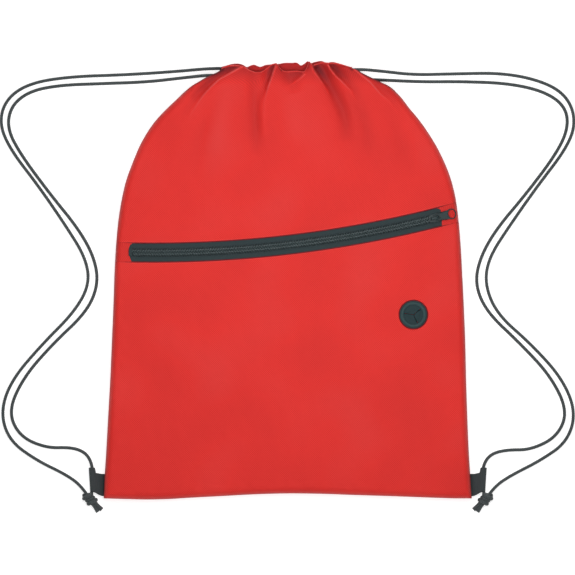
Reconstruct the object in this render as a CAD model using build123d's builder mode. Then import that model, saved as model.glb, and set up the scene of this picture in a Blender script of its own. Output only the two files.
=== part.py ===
"""Drawstring backpack with a zipped front pocket, empty, lying on its back.

Frame, in millimetres: +X to the right as the bag's front is seen, +Y from the bottom seam towards
the gathered mouth, +Z out of the front panel. The origin is below the middle of the bag, on the
surface that it lies on.
"""

import math
import os

from build123d import *

os.makedirs("parts", exist_ok=True)

# ---- Bag body -------------------------------------------------------------------------------
sheet = 0.8  # one layer of the bag's cloth
front_level = 22.0  # outside of the front panel
half_length = 211.7  # from the middle to the mouth's edge, and to the bottom corners
corner_x = 178.5  # bottom corners
bottom_bow = 6.0  # how far the bottom seam rises in the middle
hip = (168.5, 30.0)  # where the straight side seam starts to turn in towards the mouth
shoulder_radius = 240.0
shoulder_turn = 41.3  # degrees from the hip to the stitch line of the hem
mouth_corner = (57.0, 209.5)
side_rise = 7.5  # the front sheet climbs from the seam to its full height over this width
side_sheet = 1.0  # the climbing sheet, measured level

# ---- Mouth: a hem on each panel, folded over into a casing for the cords ----------------------
hem_start = 186.0  # stitch line of the hem
hem_end = 208.4  # inside of the hem's folded edge
hem_half = 50.0  # the casings are open from here out to the mouth's corners
hem_depth = 6.6
casing_depth = hem_depth - 2 * sheet

# ---- Front pocket --------------------------------------------------------------------------------
backing_level = 12.6  # underside of the pocket's back layer
backing_gap = 0.3  # between that layer and the front sheet

# ---- Zipper, on an arc ---------------------------------------------------------------------------
zip_centre = (-129.8, 1150.6)
zip_radius = 1124.0
window_half = 9.6  # half the width of tape that shows between the folded edges
window_left = -153.5
window_right = 149.0
tape_half = 15.0
tape_thick = 0.6
tape_ends = (-156.0, 153.5)
mesh_gap = 0.65  # from the centre line to each coil and tape
coil_outer = 3.4  # from the centre line to the outside of the coil
coil_height = 2.2
stop_length = 1.2
bottom_stop_length = 3.0
stop_height = 2.4

# ---- Slider and pull tab ---------------------------------------------------------------------------
slider_x = 141.9
slider_length = 11.4
slider_width = 9.2
slider_play = 0.3  # clearance to the coils and the tapes
plate_thick = 1.0
wedge_thick = 0.7  # the blade between the two coils, which joins the slider's plates
wedge_span = 4.6
wedge_offset = 2.6
bridge_reach = 4.2  # from the pivot to each end of the arch that holds the pull tab
bridge_post = 1.0
bridge_width = 2.4
bridge_thick = 0.9
pivot_height = 1.7  # pull tab's pivot over the slider's top plate
tab_thick = 1.6
tab_tilt = 4.5  # degrees that the pull tab leans down to the cloth
eye_length = 5.0
eye_half = 3.2
eye_arm = 1.6
tab_neck_half = 3.0
ring_reach = 16.6  # from the pivot to the middle of the ring
ring_radius = 5.0
ring_hole = 3.2

# ---- Earbud port -----------------------------------------------------------------------------------
port_centre = (121.4, -33.3)
port_radius = 14.3
port_flange = 1.4
port_neck = 10.7
port_hole = 11.0  # in the pocket panel
port_bore = 9.4  # the membrane's radius
membrane_low = 21.8
membrane_thick = 0.6
slit_radius = 9.0
slit_bearings = (172.0, 38.0, -65.0)
slit_gap = 0.2
flap_base_gap = 0.4  # from the line that a flap bends along to its root
ring_inner = 10.9  # backing ring
ring_outer = 14.0
ring_thick = 1.0

# ---- Corner tabs: webbing folded round each cord -----------------------------------------------
tunnel_x = 189.2
tunnel_level = 3.2
tunnel_ends = (-206.0, -181.0)
tunnel_bore = 2.4
webbing = 0.8
tab_bottom = 2.4
tab_shape = (
    (174.5, -209.3),
    (178.9, -209.5),
    (188.0, -205.6),
    (188.0, -182.6),
    (186.8, -186.4),
    (184.0, -187.8),
    (174.5, -188.2),
)
notch_play = 0.2  # slot in the pocket panel that each tab passes through
notch_middle = -198.8
notch_long = 21.8
notch_deep = 14.0

# ---- Drawcords --------------------------------------------------------------------------------------
cord_radius = 1.6
knot_place = (191.2, -212.6)
knot_heading = (-0.65, -0.76)  # of the right knot, towards its tails
knot_half_length = 7.0
knot_radius = 4.9
tail_start = 4.0
tail_length = 13.0
tail_lean = 0.24
tail_dip = 0.17

# Each route is one whole loop: from the corner knot up the outer side to the mouth, through one
# casing, back through the other, down the inner side and through the corner tab to the knot.
left_route = [
    (-193.5, -209.5, 4.2),
    (-200.0, -199.5, 2.2),
    (-215.0, -188.5, 1.7),
    (-244.0, -174.5, 1.7),
    (-270.0, -155.5, 1.7),
    (-278.5, -128.0, 1.7),
    (-268.0, -97.0, 1.7),
    (-238.0, -62.0, 1.7),
    (-207.0, -31.0, 1.7),
    (-192.0, -4.0, 1.7),
    (-196.0, 22.0, 1.7),
    (-216.0, 54.0, 1.7),
    (-241.5, 91.0, 1.7),
    (-270.0, 128.0, 1.7),
    (-280.0, 154.0, 1.7),
    (-272.0, 177.0, 1.7),
    (-249.0, 191.5, 1.7),
    (-209.0, 197.5, 1.7),
    (-160.0, 199.0, 1.7),
    (-112.0, 202.0, 1.8),
    (-66.0, 206.2, 3.2),
    (-22.0, 202.8, 3.3),
    (20.0, 204.0, 3.3),
    (43.0, 204.2, 3.3),
    (59.5, 205.0, 3.3),
    (65.1, 199.6, 11.0),
    (59.5, 193.5, 18.7),
    (38.0, 193.1, 18.7),
    (2.0, 193.2, 18.7),
    (-35.0, 194.2, 18.7),
    (-70.0, 199.0, 18.4),
    (-103.0, 195.6, 11.5),
    (-137.0, 192.0, 3.0),
    (-180.0, 190.6, 1.7),
    (-222.0, 189.0, 1.7),
    (-251.0, 183.0, 1.7),
    (-268.5, 168.5, 1.7),
    (-272.0, 147.0, 1.7),
    (-259.0, 122.0, 1.7),
    (-230.0, 83.0, 1.7),
    (-203.0, 50.0, 1.7),
    (-187.5, 22.0, 1.7),
    (-183.5, -4.0, 1.7),
    (-195.0, -31.0, 1.7),
    (-228.0, -62.0, 1.7),
    (-256.0, -94.0, 1.7),
    (-271.0, -127.0, 1.7),
    (-260.0, -151.5, 1.7),
    (-234.0, -162.8, 1.7),
    (-210.0, -162.0, 1.7),
    (-196.0, -167.0, 2.0),
    (-189.6, -178.0, 2.9),
    (-189.3, -191.0, 3.2),
    (-189.4, -203.5, 3.3),
    (-191.0, -211.0, 4.4),
]
right_route = [
    (193.5, -210.0, 4.2),
    (200.5, -200.0, 2.2),
    (217.0, -189.0, 1.7),
    (244.0, -175.5, 1.7),
    (271.0, -157.0, 1.7),
    (279.5, -128.0, 1.7),
    (266.0, -95.0, 1.7),
    (236.0, -62.0, 1.7),
    (203.0, -33.0, 1.7),
    (191.0, -4.0, 1.7),
    (195.0, 22.0, 1.7),
    (216.0, 54.0, 1.7),
    (242.0, 91.0, 1.7),
    (270.5, 128.0, 1.7),
    (279.5, 153.0, 1.7),
    (272.0, 177.0, 1.7),
    (250.0, 192.0, 1.7),
    (210.0, 201.0, 1.7),
    (160.0, 200.0, 2.4),
    (122.0, 198.8, 7.0),
    (92.0, 202.0, 15.0),
    (66.0, 204.3, 18.4),
    (26.0, 199.0, 18.7),
    (-14.0, 198.2, 18.7),
    (-41.0, 199.0, 18.7),
    (-59.5, 203.6, 18.7),
    (-65.1, 199.2, 11.0),
    (-59.5, 194.0, 3.3),
    (-38.0, 194.8, 3.3),
    (2.0, 193.8, 3.3),
    (44.0, 195.0, 3.3),
    (86.0, 194.4, 3.0),
    (128.0, 192.2, 1.8),
    (172.0, 192.6, 1.7),
    (216.0, 190.6, 1.7),
    (250.0, 182.5, 1.7),
    (269.5, 168.0, 1.7),
    (272.0, 147.0, 1.7),
    (260.0, 122.0, 1.7),
    (231.0, 83.5, 1.7),
    (202.5, 50.0, 1.7),
    (186.5, 22.0, 1.7),
    (181.5, -4.0, 1.7),
    (193.0, -31.0, 1.7),
    (225.0, -61.0, 1.7),
    (255.0, -93.0, 1.7),
    (271.5, -127.0, 1.7),
    (261.5, -151.5, 1.7),
    (236.0, -164.5, 1.7),
    (212.0, -164.5, 1.7),
    (197.0, -168.5, 2.0),
    (189.6, -178.5, 2.9),
    (189.3, -191.0, 3.2),
    (189.4, -203.5, 3.3),
    (191.0, -211.0, 4.4),
]

# ---- Derived levels and places -------------------------------------------------------------------
sheet_under = front_level - sheet
side_lean = math.degrees(math.atan(side_rise / (front_level - sheet)))
tape_under = sheet_under - tape_thick
plate_under = sheet_under + coil_height + slider_play
plate_top = plate_under + plate_thick
pivot_level = plate_top + pivot_height
wall_inner = tape_half + 0.2
wall_outer = wall_inner + sheet


def bag_shape():
    """The face inside the bag's seam line."""
    with BuildSketch() as shape:
        with BuildLine():
            bottom = ThreePointArc(
                (-corner_x, -half_length),
                (0, -half_length + bottom_bow),
                (corner_x, -half_length),
            )
            side = Line(bottom @ 1, hip)
            shoulder = JernArc(side @ 1, side % 1, shoulder_radius, shoulder_turn)
            slant = Line(shoulder @ 1, mouth_corner)
            mirror([side, shoulder, slant], about=Plane.YZ)
            mouth_left = (-mouth_corner[0], mouth_corner[1])
            ThreePointArc(mouth_corner, (0, half_length), mouth_left)
        make_face()
    return shape.sketch


def zip_angle(x):
    """Bearing of the zipper's centre line at x, in degrees about the arc's centre."""
    return -90 + math.degrees(math.asin((x - zip_centre[0]) / zip_radius))


def zip_plane(x, level):
    """A level plane on the zipper's centre line, with its own x along the zipper."""
    turn = math.radians(zip_angle(x))
    origin = (
        zip_centre[0] + zip_radius * math.cos(turn),
        zip_centre[1] + zip_radius * math.sin(turn),
        level,
    )
    return Plane(origin=origin, x_dir=(-math.sin(turn), math.cos(turn), 0), z_dir=(0, 0, 1))


def zip_band(low, high, start_x, end_x):
    """A strip along the zipper, between two offsets from its centre line towards the mouth."""
    start = zip_angle(start_x)
    span = zip_angle(end_x) - start
    with BuildSketch() as band:
        with BuildLine():
            near = CenterArc(zip_centre, zip_radius - high, start, span)
            far = CenterArc(zip_centre, zip_radius - low, start, span)
            Line(near @ 0, far @ 0)
            Line(near @ 1, far @ 1)
        make_face()
    return band.sketch


def hem(low):
    """A folded hem with its casing, from the level low upwards."""
    with BuildPart() as block:
        with BuildSketch(Plane.XY.offset(low)):
            add(bag_shape())
            with Locations((0, (hem_start + half_length) / 2)):
                Rectangle(2 * hem_half, half_length - hem_start, mode=Mode.INTERSECT)
        extrude(amount=hem_depth)
        with BuildSketch(Plane.XY.offset(low + sheet)):
            with Locations((0, (hem_start + sheet + hem_end) / 2)):
                Rectangle(2 * hem_half, hem_end - hem_start - sheet)
        extrude(amount=casing_depth, mode=Mode.SUBTRACT)
    return block.part


# ---- Back panel, with its hem ----------------------------------------------------------------------
with BuildPart() as back_panel:
    with BuildSketch():
        add(bag_shape())
    extrude(amount=sheet)
    add(hem(0))

# ---- Front sheet, from which the front's four pieces are cut ---------------------------------------
with BuildPart() as front_sheet:
    with BuildSketch(Plane.XY.offset(sheet)):
        add(bag_shape())
    extrude(amount=front_level - sheet, taper=side_lean)
    with BuildSketch(Plane.XY.offset(sheet)):
        add(bag_shape())
        offset(amount=-side_sheet, kind=Kind.INTERSECTION, mode=Mode.REPLACE)
    extrude(amount=sheet_under - sheet, taper=side_lean, mode=Mode.SUBTRACT)
    with BuildSketch():
        with Locations((0, hem_start + half_length)):
            Rectangle(4 * corner_x, 2 * half_length)
    extrude(amount=2 * front_level, mode=Mode.SUBTRACT)

# ---- Front panel above the zipper, with its hem -----------------------------------------------------
with BuildPart() as front_upper_panel:
    add(front_sheet.part)
    with BuildSketch():
        with Locations(zip_centre):
            Circle(zip_radius - window_half)
    extrude(amount=2 * front_level, mode=Mode.INTERSECT)
    with BuildSketch(Plane.XY.offset(sheet_under)):
        add(bag_shape())
        with Locations((0, (hem_start + half_length) / 2)):
            Rectangle(2 * corner_x, half_length - hem_start, mode=Mode.INTERSECT)
    extrude(amount=sheet)
    add(hem(front_level - hem_depth))

# ---- Pocket panel below the zipper ------------------------------------------------------------------
with BuildPart() as front_pocket_panel:
    add(front_sheet.part)
    with BuildSketch():
        with Locations(zip_centre):
            Circle(zip_radius + window_half)
    extrude(amount=2 * front_level, mode=Mode.SUBTRACT)
    with BuildSketch():
        with Locations(port_centre):
            Circle(port_hole)
    extrude(amount=2 * front_level, mode=Mode.SUBTRACT)
    notch_height = 2 * webbing + 2 * notch_play
    with Locations(
        (corner_x, notch_middle, tab_bottom + webbing),
        (-corner_x, notch_middle, tab_bottom + webbing),
    ):
        Box(notch_deep, notch_long, notch_height, mode=Mode.SUBTRACT)

# ---- Cloth over the two ends of the zipper ---------------------------------------------------------
with BuildPart() as zipper_end_left:
    add(front_sheet.part)
    with BuildSketch():
        add(zip_band(-window_half, window_half, -2 * corner_x, window_left))
    extrude(amount=2 * front_level, mode=Mode.INTERSECT)

with BuildPart() as zipper_end_right:
    add(front_sheet.part)
    with BuildSketch():
        add(zip_band(-window_half, window_half, window_right, 2 * corner_x))
    extrude(amount=2 * front_level, mode=Mode.INTERSECT)

# ---- Back layer of the pocket, turned up behind the zipper -----------------------------------------
with BuildPart() as pocket_backing:
    with BuildSketch(Plane.XY.offset(backing_level)):
        add(bag_shape())
        climb = (backing_level + sheet) * side_rise / (front_level - sheet)
        offset(
            amount=-(side_sheet + climb + backing_gap),
            kind=Kind.INTERSECTION,
            mode=Mode.REPLACE,
        )
        with Locations(zip_centre):
            Circle(zip_radius - wall_outer, mode=Mode.SUBTRACT)
    extrude(amount=sheet)
    with BuildSketch(Plane.XY.offset(backing_level)):
        add(zip_band(wall_inner, wall_outer, tape_ends[0] + 2, tape_ends[1] - 4))
    extrude(amount=sheet_under - backing_level)

# ---- Zipper: two tapes, two coils and their stops ---------------------------------------------------
with BuildPart() as zipper_tape_upper:
    with BuildSketch(Plane.XY.offset(tape_under)):
        add(zip_band(mesh_gap, tape_half, *tape_ends))
    extrude(amount=tape_thick)

with BuildPart() as zipper_tape_lower:
    with BuildSketch(Plane.XY.offset(tape_under)):
        add(zip_band(-tape_half, -mesh_gap, *tape_ends))
    extrude(amount=tape_thick)

coil_start = window_left + bottom_stop_length
coil_end = window_right - stop_length - 0.2
with BuildPart() as zipper_coil_upper:
    with BuildSketch(Plane.XY.offset(sheet_under)):
        add(zip_band(mesh_gap, coil_outer, coil_start, coil_end))
    extrude(amount=coil_height)

with BuildPart() as zipper_coil_lower:
    with BuildSketch(Plane.XY.offset(sheet_under)):
        add(zip_band(-coil_outer, -mesh_gap, coil_start, coil_end))
    extrude(amount=coil_height)

with BuildPart() as zipper_bottom_stop:
    with BuildSketch(Plane.XY.offset(sheet_under)):
        add(zip_band(-coil_outer, coil_outer, window_left, coil_start))
    extrude(amount=stop_height)

with BuildPart() as zipper_top_stops:
    for low, high in ((mesh_gap, coil_outer), (-coil_outer, -mesh_gap)):
        with BuildSketch(Plane.XY.offset(sheet_under)):
            add(zip_band(low, high, coil_end, coil_end + stop_length))
        extrude(amount=stop_height)

# ---- Slider ------------------------------------------------------------------------------------------
with BuildPart() as slider_body:
    with BuildSketch(zip_plane(slider_x, plate_under)):
        RectangleRounded(slider_length, slider_width, 2.6)
    extrude(amount=plate_thick)
    flange_low = sheet_under + slider_play
    flange_inner = coil_outer + slider_play
    flange_wide = slider_width / 2 - flange_inner
    with BuildSketch(zip_plane(slider_x, flange_low)):
        with Locations((0, flange_inner + flange_wide / 2), (0, -flange_inner - flange_wide / 2)):
            Rectangle(slider_length - 5.2, flange_wide)
    extrude(amount=plate_under - flange_low)
    bottom_low = tape_under - slider_play - plate_thick
    with BuildSketch(zip_plane(slider_x, bottom_low)):
        RectangleRounded(slider_length, slider_width - 1, 2.4)
    extrude(amount=plate_thick)
    with BuildSketch(zip_plane(slider_x, bottom_low + plate_thick)):
        with Locations((wedge_offset, 0)):
            Rectangle(wedge_span, wedge_thick)
    extrude(amount=plate_under - bottom_low - plate_thick)
    bridge_top = pivot_level + tab_thick / 2 + slider_play + bridge_thick
    post_middle = bridge_reach - bridge_post / 2
    with BuildSketch(zip_plane(slider_x, plate_top)):
        with Locations((post_middle, 0), (-post_middle, 0)):
            Rectangle(bridge_post, bridge_width)
    extrude(amount=bridge_top - plate_top)
    with BuildSketch(zip_plane(slider_x, bridge_top - bridge_thick)):
        RectangleRounded(2 * bridge_reach, bridge_width, 0.4)
    extrude(amount=bridge_thick)

# ---- Pull tab: pivot bar, eye, tapering neck and ring ------------------------------------------------
pivot_plane = zip_plane(slider_x, pivot_level)
lean = math.radians(tab_tilt)
pull_along = pivot_plane.x_dir * math.cos(lean) - pivot_plane.z_dir * math.sin(lean)
pull_plane = Plane(
    origin=pivot_plane.origin,
    x_dir=pull_along,
    z_dir=pull_along.cross(pivot_plane.y_dir),
)
with BuildPart() as pull_tab:
    with BuildSketch(pull_plane.offset(-tab_thick / 2)):
        with Locations((eye_length / 2 + 0.8, 0)):
            Rectangle(eye_length + 1.6, 2 * eye_half)
        with BuildLine():
            Polyline(
                (eye_length, -tab_neck_half),
                (ring_reach, -ring_radius + 0.4),
                (ring_reach, ring_radius - 0.4),
                (eye_length, tab_neck_half),
                close=True,
            )
        make_face()
        with Locations((ring_reach, 0)):
            Circle(ring_radius)
            Circle(ring_hole, mode=Mode.SUBTRACT)
        with Locations((eye_length / 2, 0)):
            Rectangle(eye_length, 2 * (eye_half - eye_arm), mode=Mode.SUBTRACT)
    extrude(amount=tab_thick)
    bar_plane = Plane(origin=pull_plane.origin, x_dir=pull_plane.x_dir, z_dir=pull_plane.y_dir)
    with BuildSketch(bar_plane):
        Circle(tab_thick / 2)
    extrude(amount=eye_half, both=True)

# ---- Earbud port: moulded ring with a membrane, three flaps and a backing ring ------------------------
slit_ends = [
    (
        port_centre[0] + slit_radius * math.cos(math.radians(bearing)),
        port_centre[1] + slit_radius * math.sin(math.radians(bearing)),
    )
    for bearing in slit_bearings
]
with BuildPart() as earbud_port:
    with BuildSketch(Plane.XY.offset(front_level)):
        with Locations(port_centre):
            Circle(port_radius)
            Circle(port_bore, mode=Mode.SUBTRACT)
    extrude(amount=port_flange)
    with BuildSketch(Plane.XY.offset(sheet_under - ring_thick)):
        with Locations(port_centre):
            Circle(port_neck)
            Circle(port_bore, mode=Mode.SUBTRACT)
    extrude(amount=front_level - sheet_under + ring_thick)
    with BuildSketch(Plane.XY.offset(membrane_low)):
        with Locations(port_centre):
            Circle(port_bore + 0.1)
        with BuildLine():
            Polyline(*slit_ends, close=True)
        make_face(mode=Mode.SUBTRACT)
    extrude(amount=membrane_thick)

port_flaps = []
for number in range(3):
    tip = Vector(*port_centre)
    first = Vector(*slit_ends[number]) - tip
    second = Vector(*slit_ends[(number + 1) % 3]) - tip
    bend_line_distance = ((first + second) / 2).length
    kept = 1 - (flap_base_gap - slit_gap) / bend_line_distance
    with BuildPart() as port_flap:
        with BuildSketch(Plane.XY.offset(membrane_low)):
            with BuildLine():
                Polyline(tip, tip + first * kept, tip + second * kept, close=True)
            make_face()
            offset(amount=-slit_gap, kind=Kind.INTERSECTION, mode=Mode.REPLACE)
        extrude(amount=membrane_thick)
    port_flap.part.label = f"port_flap_{number + 1}"
    port_flaps.append(port_flap.part)

with BuildPart() as port_backing_ring:
    with BuildSketch(Plane.XY.offset(sheet_under - ring_thick)):
        with Locations(port_centre):
            Circle(ring_outer)
            Circle(ring_inner, mode=Mode.SUBTRACT)
    extrude(amount=ring_thick)


# ---- Corner tabs -------------------------------------------------------------------------------------
def corner_tab(side, label):
    """A webbing tab on the right (side 1) or the left (side -1) bottom corner."""
    with BuildPart() as tab:
        with BuildSketch(Plane.XY.offset(tab_bottom)):
            with BuildLine():
                Polyline(*[(side * x, y) for x, y in tab_shape], close=True)
            make_face()
        extrude(amount=2 * webbing)
        fold = Plane(origin=(side * tunnel_x, tunnel_ends[0], tunnel_level), z_dir=(0, 1, 0))
        with BuildSketch(fold):
            Circle(tunnel_bore + webbing)
        extrude(amount=tunnel_ends[1] - tunnel_ends[0])
        with BuildSketch(fold.offset(-1)):
            Circle(tunnel_bore)
        extrude(amount=tunnel_ends[1] - tunnel_ends[0] + 2, mode=Mode.SUBTRACT)
    tab.part.label = label
    return tab.part


# ---- Drawcords and their knots -----------------------------------------------------------------------
def corner_radii(route):
    """The radius at each corner: 0.45 of the shorter run over the tangent of half the turn."""
    radii = []
    for before, corner, after in zip(route, route[1:], route[2:]):
        first = Vector(*corner) - Vector(*before)
        second = Vector(*after) - Vector(*corner)
        half_turn = math.radians(first.get_angle(second)) / 2
        radii.append(0.45 * min(first.length, second.length) / math.tan(half_turn))
    return radii


def drawcord(route, label):
    """A round cord along a route of straight runs joined by tangent arcs."""
    radii = corner_radii(route)
    with BuildPart() as cord:
        with BuildLine() as path:
            FilletPolyline(*route, radius=radii)
        start = Plane(origin=route[0], z_dir=Vector(*route[1]) - Vector(*route[0]))
        with BuildSketch(start):
            Circle(cord_radius)
        sweep()
    length = sum(edge.length for edge in path.line.edges())
    expected = length * math.pi * cord_radius**2
    print(label, "length", round(length, 1), "volume ratio", round(cord.part.volume / expected, 4))
    print(label, "radii", [round(radius, 1) for radius in radii])
    cord.part.label = label
    return cord.part


def corner_knot(side, label):
    """An overhand knot in both ends of a cord, with its two cut tails."""
    middle = Vector(side * knot_place[0], knot_place[1], knot_radius)
    along = Vector(side * knot_heading[0], knot_heading[1], 0)
    across = Vector(side * knot_heading[1], -knot_heading[0], 0)
    with BuildPart() as knot:
        with BuildSketch(Plane(origin=middle, x_dir=along, z_dir=(0, 0, 1))):
            Ellipse(knot_half_length, knot_radius)
            with Locations((0, knot_radius)):
                Rectangle(3 * knot_half_length, 2 * knot_radius, mode=Mode.SUBTRACT)
        revolve(axis=Axis(middle, along))
        for lean in (-tail_lean, tail_lean):
            heading = along + across * lean - Vector(0, 0, tail_dip)
            root = middle + along * tail_start + across * (lean * knot_half_length)
            with BuildSketch(Plane(origin=root, z_dir=heading)):
                Circle(cord_radius)
            extrude(amount=tail_length)
    knot.part.label = label
    return knot.part


# ---- Labels and files ----------------------------------------------------------------------------------
back_panel.part.label = "back_panel"
front_upper_panel.part.label = "front_upper_panel"
front_pocket_panel.part.label = "front_pocket_panel"
zipper_end_left.part.label = "zipper_end_left"
zipper_end_right.part.label = "zipper_end_right"
pocket_backing.part.label = "pocket_backing"
zipper_tape_upper.part.label = "zipper_tape_upper"
zipper_tape_lower.part.label = "zipper_tape_lower"
zipper_coil_upper.part.label = "zipper_coil_upper"
zipper_coil_lower.part.label = "zipper_coil_lower"
zipper_bottom_stop.part.label = "zipper_bottom_stop"
zipper_top_stops.part.label = "zipper_top_stops"
slider_body.part.label = "slider_body"
pull_tab.part.label = "pull_tab"
earbud_port.part.label = "earbud_port"
port_backing_ring.part.label = "port_backing_ring"

pieces = [
    back_panel.part,
    front_upper_panel.part,
    front_pocket_panel.part,
    zipper_end_left.part,
    zipper_end_right.part,
    pocket_backing.part,
    zipper_tape_upper.part,
    zipper_tape_lower.part,
    zipper_coil_upper.part,
    zipper_coil_lower.part,
    zipper_bottom_stop.part,
    zipper_top_stops.part,
    slider_body.part,
    pull_tab.part,
    earbud_port.part,
    *port_flaps,
    port_backing_ring.part,
    corner_tab(-1, "tab_left"),
    corner_tab(1, "tab_right"),
    drawcord(left_route, "cord_left"),
    drawcord(right_route, "cord_right"),
    corner_knot(-1, "knot_left"),
    corner_knot(1, "knot_right"),
]
for piece in pieces:
    export_step(piece, f"parts/{piece.label}.step")
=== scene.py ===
"""Looks of a drawstring backpack lying on its back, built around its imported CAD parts.

The frame is the CAD's: +X to the right of the bag's front, +Y to the gathered mouth, +Z out of the
front. The cords' routes are in metres. Other shapes are worked out in millimetres, and add_mesh
turns them into metres.
"""

import math

import bmesh
import bpy
import numpy as np
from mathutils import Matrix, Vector, noise


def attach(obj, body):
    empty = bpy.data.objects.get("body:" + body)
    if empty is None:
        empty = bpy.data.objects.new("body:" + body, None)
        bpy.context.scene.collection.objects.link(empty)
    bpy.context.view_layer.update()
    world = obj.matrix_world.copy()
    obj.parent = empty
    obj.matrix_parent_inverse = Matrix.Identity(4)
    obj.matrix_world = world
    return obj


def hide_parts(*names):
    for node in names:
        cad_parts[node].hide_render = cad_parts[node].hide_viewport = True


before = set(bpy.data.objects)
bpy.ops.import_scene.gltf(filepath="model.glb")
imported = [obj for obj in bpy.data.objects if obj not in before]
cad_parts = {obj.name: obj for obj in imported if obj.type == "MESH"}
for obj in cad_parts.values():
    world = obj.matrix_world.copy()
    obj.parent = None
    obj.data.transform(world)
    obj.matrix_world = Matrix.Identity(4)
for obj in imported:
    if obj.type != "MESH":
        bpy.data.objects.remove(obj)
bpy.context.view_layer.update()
MM = 0.001

# ---- Camera: straight above, as a long lens sees it ----
VIEW_WIDTH = 0.5578
CAMERA_HEIGHT = 5.0
camera_data = bpy.data.cameras.new("camera")
camera_data.sensor_width = 36.0
camera_data.lens = camera_data.sensor_width * CAMERA_HEIGHT / VIEW_WIDTH
camera = bpy.data.objects.new("camera", camera_data)
camera.location = (-0.0002, -0.0071, CAMERA_HEIGHT)
bpy.context.scene.collection.objects.link(camera)
bpy.context.scene.camera = camera

# ---- Drawcords: each route is one whole loop, from its knot to the mouth and back ----
CORD_DIAMETER = 0.0032
LEFT_ROUTE = [
    (-0.1935, -0.2095, 0.0042), (-0.2000, -0.1995, 0.0022), (-0.2150, -0.1885, 0.0017),
    (-0.2440, -0.1745, 0.0017), (-0.2700, -0.1555, 0.0017), (-0.2785, -0.1280, 0.0017),
    (-0.2680, -0.0970, 0.0017), (-0.2380, -0.0620, 0.0017), (-0.2070, -0.0310, 0.0017),
    (-0.1920, -0.0040, 0.0017), (-0.1960, 0.0220, 0.0017), (-0.2160, 0.0540, 0.0017),
    (-0.2415, 0.0910, 0.0017), (-0.2700, 0.1280, 0.0017), (-0.2800, 0.1540, 0.0017),
    (-0.2720, 0.1770, 0.0017), (-0.2490, 0.1915, 0.0017), (-0.2090, 0.1975, 0.0017),
    (-0.1600, 0.1990, 0.0017), (-0.1120, 0.2020, 0.0018), (-0.0660, 0.2062, 0.0032),
    (-0.0220, 0.2028, 0.0033), (0.0200, 0.2040, 0.0033), (0.0430, 0.2042, 0.0033),
    (0.0595, 0.2050, 0.0033), (0.0651, 0.1996, 0.0110), (0.0595, 0.1935, 0.0187),
    (0.0380, 0.1931, 0.0187), (0.0020, 0.1932, 0.0187), (-0.0350, 0.1942, 0.0187),
    (-0.0700, 0.1990, 0.0184), (-0.1030, 0.1956, 0.0115), (-0.1370, 0.1920, 0.0030),
    (-0.1800, 0.1906, 0.0017), (-0.2220, 0.1890, 0.0017), (-0.2510, 0.1830, 0.0017),
    (-0.2685, 0.1685, 0.0017), (-0.2720, 0.1470, 0.0017), (-0.2590, 0.1220, 0.0017),
    (-0.2300, 0.0830, 0.0017), (-0.2030, 0.0500, 0.0017), (-0.1875, 0.0220, 0.0017),
    (-0.1835, -0.0040, 0.0017), (-0.1950, -0.0310, 0.0017), (-0.2280, -0.0620, 0.0017),
    (-0.2560, -0.0940, 0.0017), (-0.2710, -0.1270, 0.0017), (-0.2600, -0.1515, 0.0017),
    (-0.2340, -0.1628, 0.0017), (-0.2100, -0.1620, 0.0017), (-0.1960, -0.1670, 0.0020),
    (-0.1896, -0.1780, 0.0029), (-0.1893, -0.1910, 0.0032), (-0.1894, -0.2035, 0.0033),
    (-0.1910, -0.2110, 0.0044),
]
RIGHT_ROUTE = [
    (0.1935, -0.2100, 0.0042), (0.2005, -0.2000, 0.0022), (0.2170, -0.1890, 0.0017),
    (0.2440, -0.1755, 0.0017), (0.2710, -0.1570, 0.0017), (0.2795, -0.1280, 0.0017),
    (0.2660, -0.0950, 0.0017), (0.2360, -0.0620, 0.0017), (0.2030, -0.0330, 0.0017),
    (0.1910, -0.0040, 0.0017), (0.1950, 0.0220, 0.0017), (0.2160, 0.0540, 0.0017),
    (0.2420, 0.0910, 0.0017), (0.2705, 0.1280, 0.0017), (0.2795, 0.1530, 0.0017),
    (0.2720, 0.1770, 0.0017), (0.2500, 0.1920, 0.0017), (0.2100, 0.2010, 0.0017),
    (0.1600, 0.2000, 0.0024), (0.1220, 0.1988, 0.0070), (0.0920, 0.2020, 0.0150),
    (0.0660, 0.2043, 0.0184), (0.0260, 0.1990, 0.0187), (-0.0140, 0.1982, 0.0187),
    (-0.0410, 0.1990, 0.0187), (-0.0595, 0.2036, 0.0187), (-0.0651, 0.1992, 0.0110),
    (-0.0595, 0.1940, 0.0033), (-0.0380, 0.1948, 0.0033), (0.0020, 0.1938, 0.0033),
    (0.0440, 0.1950, 0.0033), (0.0860, 0.1944, 0.0030), (0.1280, 0.1922, 0.0018),
    (0.1720, 0.1926, 0.0017), (0.2160, 0.1906, 0.0017), (0.2500, 0.1825, 0.0017),
    (0.2695, 0.1680, 0.0017), (0.2720, 0.1470, 0.0017), (0.2600, 0.1220, 0.0017),
    (0.2310, 0.0835, 0.0017), (0.2025, 0.0500, 0.0017), (0.1865, 0.0220, 0.0017),
    (0.1815, -0.0040, 0.0017), (0.1930, -0.0310, 0.0017), (0.2250, -0.0610, 0.0017),
    (0.2550, -0.0930, 0.0017), (0.2715, -0.1270, 0.0017), (0.2615, -0.1515, 0.0017),
    (0.2360, -0.1645, 0.0017), (0.2120, -0.1645, 0.0017), (0.1970, -0.1685, 0.0020),
    (0.1896, -0.1785, 0.0029), (0.1893, -0.1910, 0.0032), (0.1894, -0.2035, 0.0033),
    (0.1910, -0.2110, 0.0044),
]


# ---- Small tools ----
def smooth_step(low, high, value):
    """0 before low, 1 after high and a smooth rise between them."""
    share = np.clip((np.asarray(value, float) - low) / (high - low), 0, 1)
    return share * share * (3 - 2 * share)


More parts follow.
